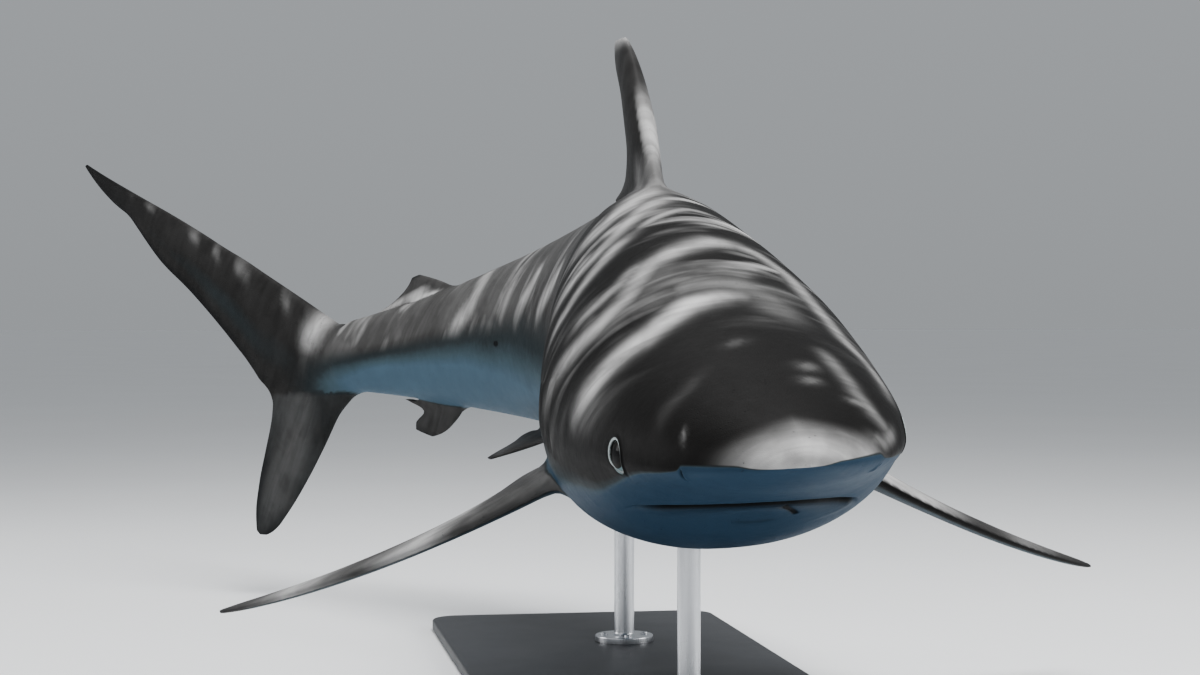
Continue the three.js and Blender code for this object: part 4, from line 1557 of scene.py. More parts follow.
@dataclass(frozen=True)
class SharkPaint:
    """Hide of the shark: dark back, grey-green flank, blue-grey belly, smooth satin skin.

    Pale streaks and pools on it are painted light. The dark in its hollows and under the head is
    painted shade, and its pale belly and flank band are painted darker and bluer, as in shade.

    It reads what the skin stores at its points: lie, tone, ink, pale, bands and glow.
    """

    back: Colour = (0.0095, 0.009, 0.0087)
    # colour that the painted light mixes the hide towards
    painted_light_colour: Colour = (0.43, 0.425, 0.42)
    flank: Colour = (0.030, 0.039, 0.043)
    # the pale flank band and belly, painted darker and bluer as they look in blue shade
    band: Colour = (0.058, 0.088, 0.104)
    belly: Colour = (0.080, 0.128, 0.172)
    # dark colour of real marks and pores, and of painted shade in hollows
    ink: Colour = (0.006, 0.007, 0.008)
    lid: Colour = (0.40, 0.44, 0.44)
    # painted shade: the underside of the head, darker and bluer as if in shadow
    painted_shade_under_head: Colour = (0.028, 0.054, 0.086)
    edge_noise: float = 0.55
    fine_edge_noise: float = 0.35
    tone_scale: float = 0.25
    head_end: Pair = (0.75, 0.42)  # metres behind the snout tip
    pores_per_metre: float = 210.0
    relief_depth: float = 0.0007
    shine: float = 0.07

    def material(self) -> Material:
        """Paints the hide.

        Returns:
            The node material.
        """
        r = Recipe("shark_hide")
        lie = r.attribute("lie", "Vector")
        tone, ink, pale, bands, glow = (
            r.attribute(name) for name in ("tone", "ink", "pale", "bands", "glow"))
        side, station, up = (r.part(lie, axis) for axis in "XYZ")
        broad = r.noise(lie, 14, 3, 0.5)
        fine = r.noise(lie, 95, 4, 0.6)
        edge = tone + (broad - 0.5) * self.edge_noise + (fine - 0.5) * self.fine_edge_noise
        shades = ((0.18, self.belly), (0.40, self.band), (0.56, self.flank), (0.80, self.back))
        hide = r.node("ShaderNodeValToRGB", {"stops": shades}, {0: edge * self.tone_scale + 0.5})
        # painted shade under the head, on the pale underside, fading out 0.42 to 0.75 m behind the
        # snout tip
        hide = r.mix(station.step(*self.head_end) * tone.step(0.3, -0.7), hide, self.painted_shade_under_head)
        slanted = r.node("ShaderNodeCombineXYZ", None,
                         {0: side * 0.2, 1: station + 0.5 * up, 2: up * 0.2})
        # painted light: dappled pools and streaks of sunlight over the hide
        light_dapple = r.noise(lie, 17, 3, 0.55, 0.4).step(0.36, 0.60)
        streaks = r.noise(slanted, 62, 2, 0.5, 0.3).step(0.36, 0.64)
        # painted light: stripes of rippled sunlight over the back
        light_banding = self.light_banding(r, slanted, station, broad) * (0.5 + 0.5 * streaks) * bands
        light_patches = glow * (0.52 + 0.24 * light_dapple + 0.24 * streaks)
        # all painted light shows only where the tone is dark, mixing the hide towards the pale
        # light colour
        light = light_banding.math("MAXIMUM", light_patches) * tone.step(0.3, 1.6)
        cloud = 0.86 + 0.28 * r.noise(lie, 33, 5, 0.62)
        colour = r.tinted(r.mix(light, hide, self.painted_light_colour), cloud)
        pores = r.node("ShaderNodeTexVoronoi", {"feature": "F1"},
                       {"Vector": lie, "Scale": self.pores_per_metre})
        speck = pores.step(0.20, 0.10) * r.noise(lie, 60, 2).step(0.52, 0.64)
        colour = r.mix(speck * 0.35, colour, self.ink)
        colour = r.mix(pale, colour, self.lid)
        # dark marks, and painted shade in the slits, socket, mouth groove, pit and vent
        colour = r.mix(ink, colour, self.ink)
        rough = 0.36 + 0.16 * fine + 0.10 * broad
        grain = r.noise(lie, 900, 2, 0.6)
        relief = 0.35 * grain + 0.5 * fine + 0.6 * r.noise(lie, 40, 3) - 0.5 * speck
        return r.finish(colour, rough, relief, self.relief_depth, Specular_IOR_Level=self.shine)

    @staticmethod
    def light_banding(r: Recipe, slanted: Signal, station: Signal, broad: Signal) -> Signal:
        """Painted light: pale stripes over the back that lean towards the tail down the sides.

        Args:
            r: the hide's recipe.
            slanted: places with the station leaning with the height.
            station: distance behind the snout tip in metres.
            broad: broad noise.

        Returns:
            Strength of the painted light: wide stripes on the head, narrow ones behind it.
        """
        narrow = r.noise(slanted, 24, 2, 0.5, 0.3).step(0.47, 0.66)
        wide = r.noise(r.scaled(slanted, (2.2, 1.0, 2.2)), 11, 3, 0.5, 0.3).step(0.43, 0.68)
        ahead = station.step(0.40, 0.24)
        return narrow * (0.35 + 0.65 * broad.step(0.36, 0.58)) * (1 - ahead) + wide * ahead


@dataclass(frozen=True)
class EyePaint:
    """Eye: nearly black, with a pale rim painted darker low down as shade, under a wet clear coat.

    dark_centre and dark_half are the iris's middle and half sizes in mm, and the shares are
    steps on the way from its middle to its edge.
    """

    pupil: Colour = (0.0015, 0.0015, 0.002)
    iris: Colour = (0.009, 0.0075, 0.006)
    rim: Colour = (0.34, 0.38, 0.38)
    rim_in_shade: Colour = (0.13, 0.18, 0.19)
    dark_centre: Pair = (-1.2, 0.9)
    dark_half: Pair = (12.9, 12.6)
    iris_share: Pair = (0.62, 0.72)
    edge_share: Pair = (0.90, 0.97)
    rim_share: Pair = (0.99, 1.05)
    roughness: float = 0.5
    shine: float = 0.05
    coat: float = 0.14
    coat_roughness: float = 0.03

    def material(self) -> Material:
        """Paints the eye. The attribute gaze holds places in mm along and up it.

        Returns:
            The node material.
        """
        r = Recipe("shark_eye")
        gaze = r.attribute("gaze", "Vector")
        x, y = ((r.part(gaze, axis) - centre) / half
                for axis, centre, half in zip("XY", self.dark_centre, self.dark_half))
        share = (x * x + y * y).math("SQRT")
        fibre = 0.6 + 0.8 * r.noise(gaze, 0.9, 4, 0.7)
        iris = r.tinted(r.mix(share.step(*self.iris_share), self.pupil, self.iris), fibre)
        dark = r.mix(share.step(*self.edge_share), iris, self.pupil)
        # painted shade: the rim darker towards its lower side
        rim = r.mix(y.step(-1.0, 0.5), self.rim_in_shade, self.rim)
        return r.finish(r.mix(share.step(*self.rim_share), dark, rim), self.roughness,
                        Specular_IOR_Level=self.shine, Coat_Weight=self.coat,
                        Coat_Roughness=self.coat_roughness)


@dataclass(frozen=True)
class StandFinish:
    """Finish of one kind of stand metal: fine orange peel, or upright brush lines."""

    texture: MetalTexture
    colour: Colour
    second: Colour
    roughness: float
    metallic: float

    def material(self) -> Material:
        """Makes the finish.

        Returns:
            The node material.
        """
        r = Recipe(self.texture.value)
        place = r.place()
        if self.texture is MetalTexture.BRUSHED_STEEL:
            relief, depth = r.noise(r.scaled(place, (1.0, 1.0, 0.02)), 1400, 3, 0.6), 0.00006
            cloud = r.noise(place, 30, 3)
            share = relief * 0.6 + cloud * 0.4
            rough = self.roughness + 0.14 * (relief - 0.5) + 0.10 * (cloud - 0.5)
        else:
            relief, depth = r.noise(place, 520, 3, 0.6), 0.00025
            share = r.noise(place, 9, 4, 0.6)
            rough = self.roughness + 0.16 * (share - 0.5)
        return r.finish(r.mix(share, self.colour, self.second), rough, relief, depth,
                        Metallic=self.metallic)


@dataclass(frozen=True)
class FloorFinish:
    """Plain pale floor with hardly any pattern."""

    colour: Colour = (0.76, 0.765, 0.77)
    roughness: float = 0.62

    def material(self) -> Material:
        """Makes the finish.

        Returns:
            The node material.
        """
        r = Recipe("pale_floor")
        cloud = 0.97 + 0.06 * r.noise(r.place(), 1.3, 4, 0.55)
        return r.finish(r.tinted(self.colour, cloud), self.roughness)


# ---------------------------------------------------------------- the shark
@dataclass(frozen=True)
class Countershade:
    """Where the dark back meets the pale belly, and how softly.

    The boundary is a share of the way down from the widest line to the belly; a negative one is
    a share of the way up to the back. Tones reach limit on the snout and less on the trunk. On
    the snout the pattern is set forward on the left and back on the right by twist.
    """

    # station, boundary, half width of the blend
    rows: Table = (
        (0.0, 0.08, 0.05), (0.4, 0.0, 0.05), (0.9, -0.08, 0.04), (2.0, -0.07, 0.04),
        (2.85, -0.05, 0.03), (3.15, 0.08, 0.03), (3.5, 0.13, 0.03), (4.1, 0.18, 0.04),
        (5.5, 0.22, 0.05), (7.0, 0.31, 0.06), (8.8, 0.40, 0.07), (11.0, 0.43, 0.09),
        (14.0, 0.40, 0.12), (17.8, 0.40, 0.15), (22.0, 0.26, 0.24), (28.0, 0.34, 0.34),
        (36.0, 0.26, 0.40), (46.0, 0.12, 0.38), (56.0, -0.05, 0.28), (62.0, -0.09, 0.22),
        (69.5, -0.02, 0.20), (74.0, 0.10, 0.30), (100.0, 0.10, 0.30))
    limit: float = 12.0
    trunk_limit: float = 2.0
    trunk: Rise = Rise(8, 20)
    tail_tone: float = 1.3
    tail: Rise = Rise(70, 80)
    twist: float = 0.4
    twist_side: float = 1.5
    snout: Rise = Rise(7, 4)

    def tone(self, trunk: TrunkForm, lie: Array) -> Array:
        """Tone of the body.

        Args:
            trunk: the body's form.
            lie: unbent places.

        Returns:
            Above 2 on the dark back, below -2 on the pale belly, 0 at the boundary.
        """
        station, side, up = lie.T
        _, back, belly, widest, _, _ = trunk.sizes(np.clip(station, *trunk.ends))
        drop = widest - up
        fall = drop / np.where(drop > 0, belly + widest, back - widest)
        stations, edges, blends = zip(*self.rows)
        turned = np.clip(side / self.twist_side, -1, 1) * self.snout(station)
        edge = MonotoneCurve(stations, edges)(station + self.twist * turned)
        blend = MonotoneCurve(stations, blends)(station)
        limit = self.limit + (self.trunk_limit - self.limit) * self.trunk(station)
        tail = self.tail(station)
        return np.clip((edge - fall) / blend, -limit, limit) * (1 - tail) + self.tail_tone * tail


@dataclass(frozen=True)
class PaintedLightStreaks:
    """Painted light: pale sunlit streaks over the snout, the head, the shoulders and the trunk.

    Each has a half width, a strength and a line of (station, turn); turn is in degrees round the
    body, 0 at the left, 90 on top and 180 at the right. A line's two ends fade.
    """

    streaks: tuple[tuple[float, float, Table], ...] = (
        (0.85, 1.1, ((13.0, 168), (12.3, 152), (12.3, 133), (12.3, 122), (12.9, 112), (13.6, 103),
                     (13.8, 86))),
        (0.75, 0.8, ((19.1, 172), (17.3, 148), (16.8, 135), (17.2, 122), (19.3, 110), (20.4, 94),
                     (21.0, 85), (21.2, 75))),
        (0.65, 0.55, ((21.0, 78), (20.8, 68), (19.0, 58), (15.2, 51), (12.1, 43), (10.4, 32),
                      (7.6, 25))),
        (1.0, 0.30, ((15.6, 106), (15.5, 99), (15.3, 84), (14.2, 75), (11.8, 69))),
        (0.4, 0.6, ((25.5, 106), (26.5, 97), (27.7, 85), (27.4, 74))),
        (1.1, 0.85, ((33.0, 133), (31.2, 120), (31.7, 107), (34.2, 93), (34.5, 80))),
        (0.8, 0.8, ((29.2, 153), (27.0, 138), (26.5, 127), (26.8, 117), (28.7, 103), (31.3, 89))),
        (0.7, 0.7, ((24.9, 159), (23.6, 145), (23.8, 133), (24.4, 122), (25.3, 112))),
        (0.5, 0.5, ((19.4, 146), (19.1, 131), (19.2, 121), (20.3, 111))),
        (0.4, 0.4, ((8.4, 62), (6.6, 56), (4.9, 47), (3.9, 33), (3.7, 14))),
        (0.3, 0.35, ((4.1, 51), (4.1, 39), (3.6, 22))),
        (0.4, 0.25, ((6.3, 74), (6.0, 68))),
        (0.35, 0.22, ((5.0, 75), (4.7, 69))),
        (0.5, 0.07, ((5.4, 153), (5.6, 140), (5.9, 128), (6.5, 117))),
        (0.25, 0.35, ((3.7, 154), (3.7, 152))),
        (0.4, 0.12, ((8.5, 99), (8.5, 93))),
        (0.5, 0.45, ((2.4, 22), (2.9, 11), (4.4, 14))),
        (0.7, 1.05, ((62.6, 178), (61.1, 159), (60.0, 144), (59.6, 127), (60.1, 99))),
        (0.5, 0.8, ((55.5, 166), (55.1, 155), (54.5, 140), (54.3, 122))),
        (0.6, 1.05, ((53.1, 169), (52.2, 157), (50.9, 147), (50.2, 132))),
        (0.7, 0.95, ((48.4, 167), (47.5, 158), (45.1, 149), (43.8, 143))),
        (1.0, 0.22, ((69.5, 165), (68.3, 144), (67.9, 126))),
        (0.8, 0.25, ((64.0, 127), (64.0, 111))))
    front_end: Rise = Rise(-0.1, 0.15)
    rear_end: Rise = Rise(1.1, 0.85)

    @staticmethod
    def unrolled(trunk: TrunkForm, station: Array, turn: Array) -> Array:
        """Stations and turns laid flat, both in percent of the length."""
        return np.stack([station, np.radians(turn) * trunk.sizes(station)[0]], -1)

    def strength(self, trunk: TrunkForm, lie: Array) -> Array:
        """How bright the painted streaks of light are.

        Args:
            trunk: the body's form.
            lie: unbent places.

        Returns:
            Values from 0 up, 1 on a bright streak.
        """
        station = np.clip(lie[:, 0], *trunk.ends)
        width, back, belly, widest, _, _ = trunk.sizes(station)
        rise = lie[:, 2] - widest
        turn = np.degrees(np.arctan2(rise / np.where(rise > 0, back - widest, belly + widest),
                                     lie[:, 1] / width))
        flat = self.unrolled(trunk, station, np.mod(turn + 90, 360) - 90)
        best = np.zeros(len(lie))
        for half_width, bright, line in self.streaks:
            marks = np.array(line, float)
            distance, share = line_distance(flat, self.unrolled(trunk, marks[:, 0], marks[:, 1]))
            ends = self.front_end(share) * self.rear_end(share)
            best = np.maximum(best, bright * bell(distance, half_width) * ends)
        return best


@dataclass(frozen=True)
class SkinPlaces:
    """Unbent places of the skin's points, and their places on the fins.

    fin is the share of fin, span and chord are shares of the way from a fin's root to its tip
    and from its leading to its trailing edge, and face is 1 or -1.
    """

    station: Array
    side: Array
    up: Array
    fin: Array
    span: Array
    chord: Array
    face: Array

    def above(self, height: float, front: float, rear: float) -> Array:
        """Whether the points lie over a height, between two stations."""
        return (self.up > height) & (self.station > front) & (self.station < rear)


@dataclass(frozen=True)
class FinMarkings:
    """Dark edges of the fins, and light painted on them.

    lobes_part is the height between the tail's two lobes. Above dorsal_height there is only the
    first dorsal fin, and beyond paired_side only the paired fins.
    """

    lobes_part: float = -1.9
    tail_start: float = 72.0
    dorsal_height: float = 6.5
    paired_side: float = 2.2
    dark: float = 2.0
    under: float = -0.2

    def tone(self, at: SkinPlaces, body: Array) -> Array:
        """Tone with the fins' own: undersides pale inside dark edges, the tail in between.

        Args:
            at: the skin's places.
            body: the body's tone.

        Returns:
            The tone.
        """
        tail, upper = at.station > self.tail_start, at.up > self.lobes_part
        below = (np.abs(at.side) > self.paired_side) & (at.station < 60) & (at.face < 0)
        edges = np.maximum.reduce((Rise(0.80, 0.93)(at.span), Rise(0.07, 0.01)(at.chord),
                                   0.8 * Rise(0.90, 0.98)(at.chord) * Rise(0.1, 0.3)(at.span)))
        streak = Swell(0.9, 0.62, 0.16)(at.chord) * Rise(0.75, 0.3)(at.span)
        under = self.under + (self.dark - self.under) * edges
        tone = np.select((below, tail & upper, tail), (under, 1.4 - streak, 1.0), self.dark)
        share = np.where(tail & upper, Rise(0.0, 0.45)(at.span), at.fin)
        near = np.where(at.fin > 0, np.clip(body, -self.dark, self.dark), body)
        return near + (tone - near) * share

    def ink(self, at: SkinPlaces) -> Array:
        """Dark tips and rear edges.

        Args:
            at: the skin's places.

        Returns:
            Strength of the dark paint.
        """
        edge = np.maximum(Rise(0.80, 1.0)(at.span), 0.7 * Rise(0.93, 1.0)(at.chord))
        rear = 0.7 * Rise(0.78, 1.0)(at.chord) * Rise(0.15, 0.4)(at.span)
        tail = np.maximum(rear, 0.6 * Rise(0.55, 1.0)(at.span))
        other = np.where(at.up > self.dorsal_height, 0.1, 0.6) * edge
        return at.fin * np.where(at.station > self.tail_start, tail, other)

    def glow(self, at: SkinPlaces) -> Array:
        """Painted light on the fins.

        Args:
            at: the skin's places.

        Returns:
            Strength of the light.
        """
        first, second = at.above(self.dorsal_height, 0, 50), at.above(2.9, 60, 73)
        reach = np.where(at.face > 0, Rise(0.6, 0.2)(at.chord), Rise(0.05, 0.01)(at.chord))
        streak = 1.2 * reach * Rise(0.72, 0.45)(at.span) * Rise(0.12, 0.34)(at.span)
        foot = Rise(0.4, 0.15)(at.span) * Swell(0.6, 0.16, 0.13)(at.chord)
        tip = 0.95 * Rise(0.82, 0.98)(at.span)
        base = 1.3 * Rise(0.6, 0.3)(at.span) * Rise(0.10, 0.35)(at.chord)
        tail = Rise(74.5, 77.5)(at.station) * self.tail_painted_light(at)
        return at.fin * np.maximum.reduce((first * np.maximum.reduce((streak, foot, tip)),
                                           second * base, tail, self.pectoral_painted_light(at)))

    def tail_painted_light(self, at: SkinPlaces) -> Array:
        """Painted light: spots on the upper lobe's front edge, a soft wash down the lower lobe.

        Args:
            at: the skin's places.

        Returns:
            Strength of the painted light, meant for the tail only.
        """
        spots = Rise(0.1, 1.0)(np.sin(2.5 * at.station + 1.6 * np.sin(0.9 * at.station)))
        upper = spots * Swell(0.35, 0.1, 0.09)(at.chord) * Rise(0.8, 0.6)(at.span)
        lower = Swell(0.24, 0.45, 0.3)(at.chord) * Rise(1.0, 0.6)(at.span)
        return np.where(at.up > self.lobes_part, 0.08 + upper, 0.20 + lower)

    @staticmethod
    def pectoral_painted_light(at: SkinPlaces) -> Array:
        """Painted light: slanting stripes on both pectorals, also under the right one's front edge.

        Args:
            at: the skin's places.

        Returns:
            Strength of the painted light, 0 off the two fins.
        """
        right = 0.26 + np.maximum.reduce((Swell(1.1, 0.69, 0.06)(at.span + 0.14 * at.chord),
                                          Swell(0.9, 0.47, 0.06)(at.span + 0.26 * at.chord),
                                          0.2 * Rise(0.16, 0.03)(at.span)))
        left = (0.12 + Swell(0.40, 0.64, 0.06)(at.span)
                + 1.1 * Rise(0.50, 0.34)(at.span) * Rise(0.6, 0.2)(at.chord))
        lit = (at.face > 0) | ((at.chord < 0.15) & (at.side < 0))
        return (at.station < 48) * (at.up < 0) * lit * np.where(at.side < 0, right, left)


@dataclass(frozen=True)
class SharkSkin:
    """The one skin over the whole body and all fins.

    coarse and head_coarse are the longest edges in mm, growth is how fast edges may grow away
    from a detail, and fillet how far in mm the fins' roots are rounded.
    """

    spine: Spine
    trunk: TrunkForm
    shade: Countershade = Countershade()
    streaks: PaintedLightStreaks = PaintedLightStreaks()
    markings: FinMarkings = FinMarkings()
    paint: SharkPaint = SharkPaint()
    coarse: float = 10.5
    head_coarse: float = 7.0
    head_end: float = 17.0
    front: Pair = (26.0, 8.5)  # station and side that bound the head's details
    growth: float = 0.55
    halvings: int = 7
    fillet: float = 13.0
    fillet_moves: int = 26
    # strength of the painted stripes of light
    light_band_strength: float = 0.9

    def details(self) -> tuple[Detail, ...]:
        """Everything that is worked into the skin."""
        return (EyeOpening(self.trunk), Nostrils(self.trunk), Mouth(self.trunk), Gills(),
                BackAndBelly(), Scars())

    def target(self, lie: Array) -> Array:
        """Wanted edge length.

        Args:
            lie: unbent places.

        Returns:
            Lengths in percent of the total length.
        """
        size = np.where(lie[:, 0] < self.head_end, self.head_coarse, self.coarse)
        front = (lie[:, 0] < self.front[0]) & (np.abs(lie[:, 1]) < self.front[1])
        for detail in self.details():
            here = front | detail.everywhere
            gap = np.maximum(detail.gap(lie[here]), 0)
            size[here] = np.minimum(size[here], detail.finest * 1.25 + self.growth * gap)
        return size * MILLIMETRE

    def surface(self) -> Surface:
        """Builds the smooth skin.

        Returns:
            The skin, unbent and without the details' relief.
        """
        cage = SkinCage(self.trunk, UPPER_LOBE, (*MIDDLE_FINS, *PAIRED_FINS))
        skin = cage.build()
        skin.refine(self.target, self.halvings)
        near = np.zeros(len(skin.points))
        for seam in cage.seams:
            low, high = seam.min(0) - 2.5, seam.max(0) + 2.5
            here = ((skin.points > low) & (skin.points < high)).all(1)
            distance, _ = line_distance(skin.points[here], np.vstack([seam, seam[:1]]))
            near[here] = np.maximum(near[here], bell(distance / MILLIMETRE, self.fillet))
        skin.relax(near, self.fillet_moves)
        return skin

    def worked(self, lie: Array) -> Effect:
        """Works all details into the skin.

        Args:
            lie: unbent places.

        Returns:
            Their relief, and their paint from 0 to 1.
        """
        done = Effect.none(lie)
        for detail in self.details():
            effect = detail.effect(lie)
            done.relief += effect.relief
            done.ink = np.maximum(done.ink, np.clip(effect.ink, 0, 1))
            done.pale = np.clip(done.pale + effect.pale, 0, 1)
        return done

    def bands(self, at: SkinPlaces) -> Array:
        """Where painted light shows in stripes: on the dark back, little on the snout, not on fins.

        Args:
            at: the skin's places.

        Returns:
            How strongly they show.
        """
        here = 0.3 * Rise(8, 12)(at.station) + 0.35 * Rise(21, 28)(at.station)
        left = 0.4 * Rise(0, 3)(at.side) * Rise(8, 14)(at.station)
        clear = Rise(-0.2, 1.0)(at.up) + Rise(12, 18)(at.station)
        return self.light_band_strength * np.clip(here + left, 0, 1) * np.clip(clear, 0, 1) * (1 - at.fin)

    def glow(self, at: SkinPlaces, lie: Array) -> Array:
        """Painted light: pale streaks and pools of sunlight on snout, back, tail's root and fins.

        Args:
            at: the skin's places.
            lie: the unbent places again, one row each.

        Returns:
            Strength of the painted light.
        """
        # painted highlight of sunlight on the top of the snout's front
        snout = (Rise(2.0, 0.5)(at.up + 0.1 * at.station + 0.28 * np.abs(at.side))
                 * Rise(-3.8, -0.9)(at.side) * Rise(3.4, 1.4)(at.station))
        # painted pool of light on the tail's root, and faint painted light over the rear back
        tail = Swell(1.3, 75.7, 0.95)(at.station + 0.3 * (at.up - 2)) * bell(at.up - 2.1, 1.3)
        rear = 0.22 * Rise(30, 48)(at.station) * Rise(78, 74)(at.station)
        body = np.maximum.reduce((1.15 * snout, self.streaks.strength(self.trunk, lie), tail, rear))
        return np.maximum(body * (1 - 0.35 * at.fin), 0.75 * self.markings.glow(at))

    def build(self) -> Object:
        """Builds, bends and dresses the skin, and puts it over the flesh nodes.

        Returns:
            The skin.
        """
        skin = self.surface()
        lie = skin.points
        at, done = SkinPlaces(*lie.T, *skin.facts.T), self.worked(lie)
        relief = skin.normals() * (done.relief * MILLIMETRE)[:, None]
        mesh = bpy.data.meshes.new("shark_skin")
        mesh.from_pydata(self.spine.place(lie + relief), [], skin.faces)
        mesh.shade_smooth()
        # tone, dark marks with painted shade, the pale rim and painted light, stored for the hide
        looks = {"tone": self.markings.tone(at, self.shade.tone(self.trunk, lie)),
                 "ink": np.maximum(done.ink, self.markings.ink(at)), "pale": done.pale,
                 "bands": self.bands(at), "glow": self.glow(at, lie)}
        for name, values in looks.items():
            mesh.attributes.new(name, "FLOAT", "POINT").data.foreach_set("value", values)
        places = mesh.attributes.new("lie", "FLOAT_VECTOR", "POINT")
        places.data.foreach_set("vector", (lie[:, [1, 0, 2]] * UNIT).ravel())
        mesh.materials.append(self.paint.material())
        piece = scene_object("shark_skin", mesh)
        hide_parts(*[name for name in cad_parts
                             if not name.startswith(("eye_", "stand_"))])
        LOG.info("shark_skin: %d triangles", len(mesh.polygons))
        return piece


@dataclass(frozen=True)
class Eye:
    """Eyeball behind the opening of the lids, on one side. Its sizes are in mm."""

    spine: Spine
    opening: EyeOpening
    hand: Hand
    half_sizes: tuple[float, float, float] = (20.0, 17.8, 10.0)
    sunk: float = 9.9
    rings: int = 40
    segments: int = 64

    def ball(self) -> Array:
        """Points about the eye's middle: its front pole, its rings and its rear pole.

        Returns:
            Places along, up and out of the eye, one row each.
        """
        polar = np.linspace(0, math.pi, self.rings + 1)[1:-1]
        turn = np.linspace(0, 2 * math.pi, self.segments, endpoint=False)
        p, t = (grid.ravel() for grid in np.meshgrid(polar, turn, indexing="ij"))
        points = np.stack([np.sin(p) * np.cos(t), np.sin(p) * np.sin(t), np.cos(p)], 1)
        return np.vstack([[0, 0, 1], points, [0, 0, -1]]) * np.array(self.half_sizes)

    def build(self, finish: Material) -> Object:
        """Builds the eyeball with its gaze stored at its points.

        Args:
            finish: material of the eye.

        Returns:
            The eye.
        """
        place, ball = self.opening.place(), self.ball()
        axes = np.stack([place.along, place.across, place.out])
        lie = place.centre + (ball - np.array([0, 0, self.sunk])) @ axes * MILLIMETRE
        work = bmesh.new()
        points = [work.verts.new(point) for point in self.spine.place(self.hand.mirror(lie))]
        count = self.segments
        rings = [points[i:i + count] for i in range(1, len(points) - 1, count)]
        wrap(work, [points[:1] * count, *rings, points[-1:] * count])
        mesh = outward_mesh(f"shark_eye_{self.hand.name.lower()}", work)
        mesh.materials.append(finish)
        gaze = mesh.attributes.new("gaze", "FLOAT_VECTOR", "POINT")
        gaze.data.foreach_set("vector", ball.ravel())
        piece = scene_object(mesh.name, mesh)
        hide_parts("eye_right" if self.hand is Hand.RIGHT else "eye_left")
        return piece


# ---------------------------------------------------------------- the stand
def rounded(corner: Pair, before: Pair, after: Pair, radius: float, steps: int = 5) -> list[Pair]:
    """Profile points that round a corner.

    Args:
        corner: the corner.
        before: a point on the way to it.
        after: a point on the way from it.
        radius: how far from the corner the rounding starts and ends.
        steps: stretches of the rounding.

    Returns:
        The points, from the side of before to that of after.
    """
    c, a, b = (np.array(point, float) for point in (corner, before, after))
    start, end = c + unit_vectors(a - c) * radius, c + unit_vectors(b - c) * radius
    marks = np.linspace(0, 1, steps + 1)[:, None]
    curve = (1 - marks)**2 * start + 2 * marks * (1 - marks) * c + marks**2 * end
    return [tuple(point) for point in curve]


def turned_row(work: BMesh, radius: Array | float, height: float, segments: int,
               centre: Vector) -> list[BMVert]:
    """Adds a row of points round an upright axis.

    Args:
        work: the shape.
        radius: distance from the axis, for all points or for each.
        height: the row's height.
        segments: number of points.
        centre: the axis's place.

    Returns:
        The points.
    """
    angles = 2 * np.pi * np.arange(segments) / segments
    xs, ys = centre.x + radius * np.cos(angles), centre.y + radius * np.sin(angles)
    return [work.verts.new((x, y, height)) for x, y in zip(xs, ys)]


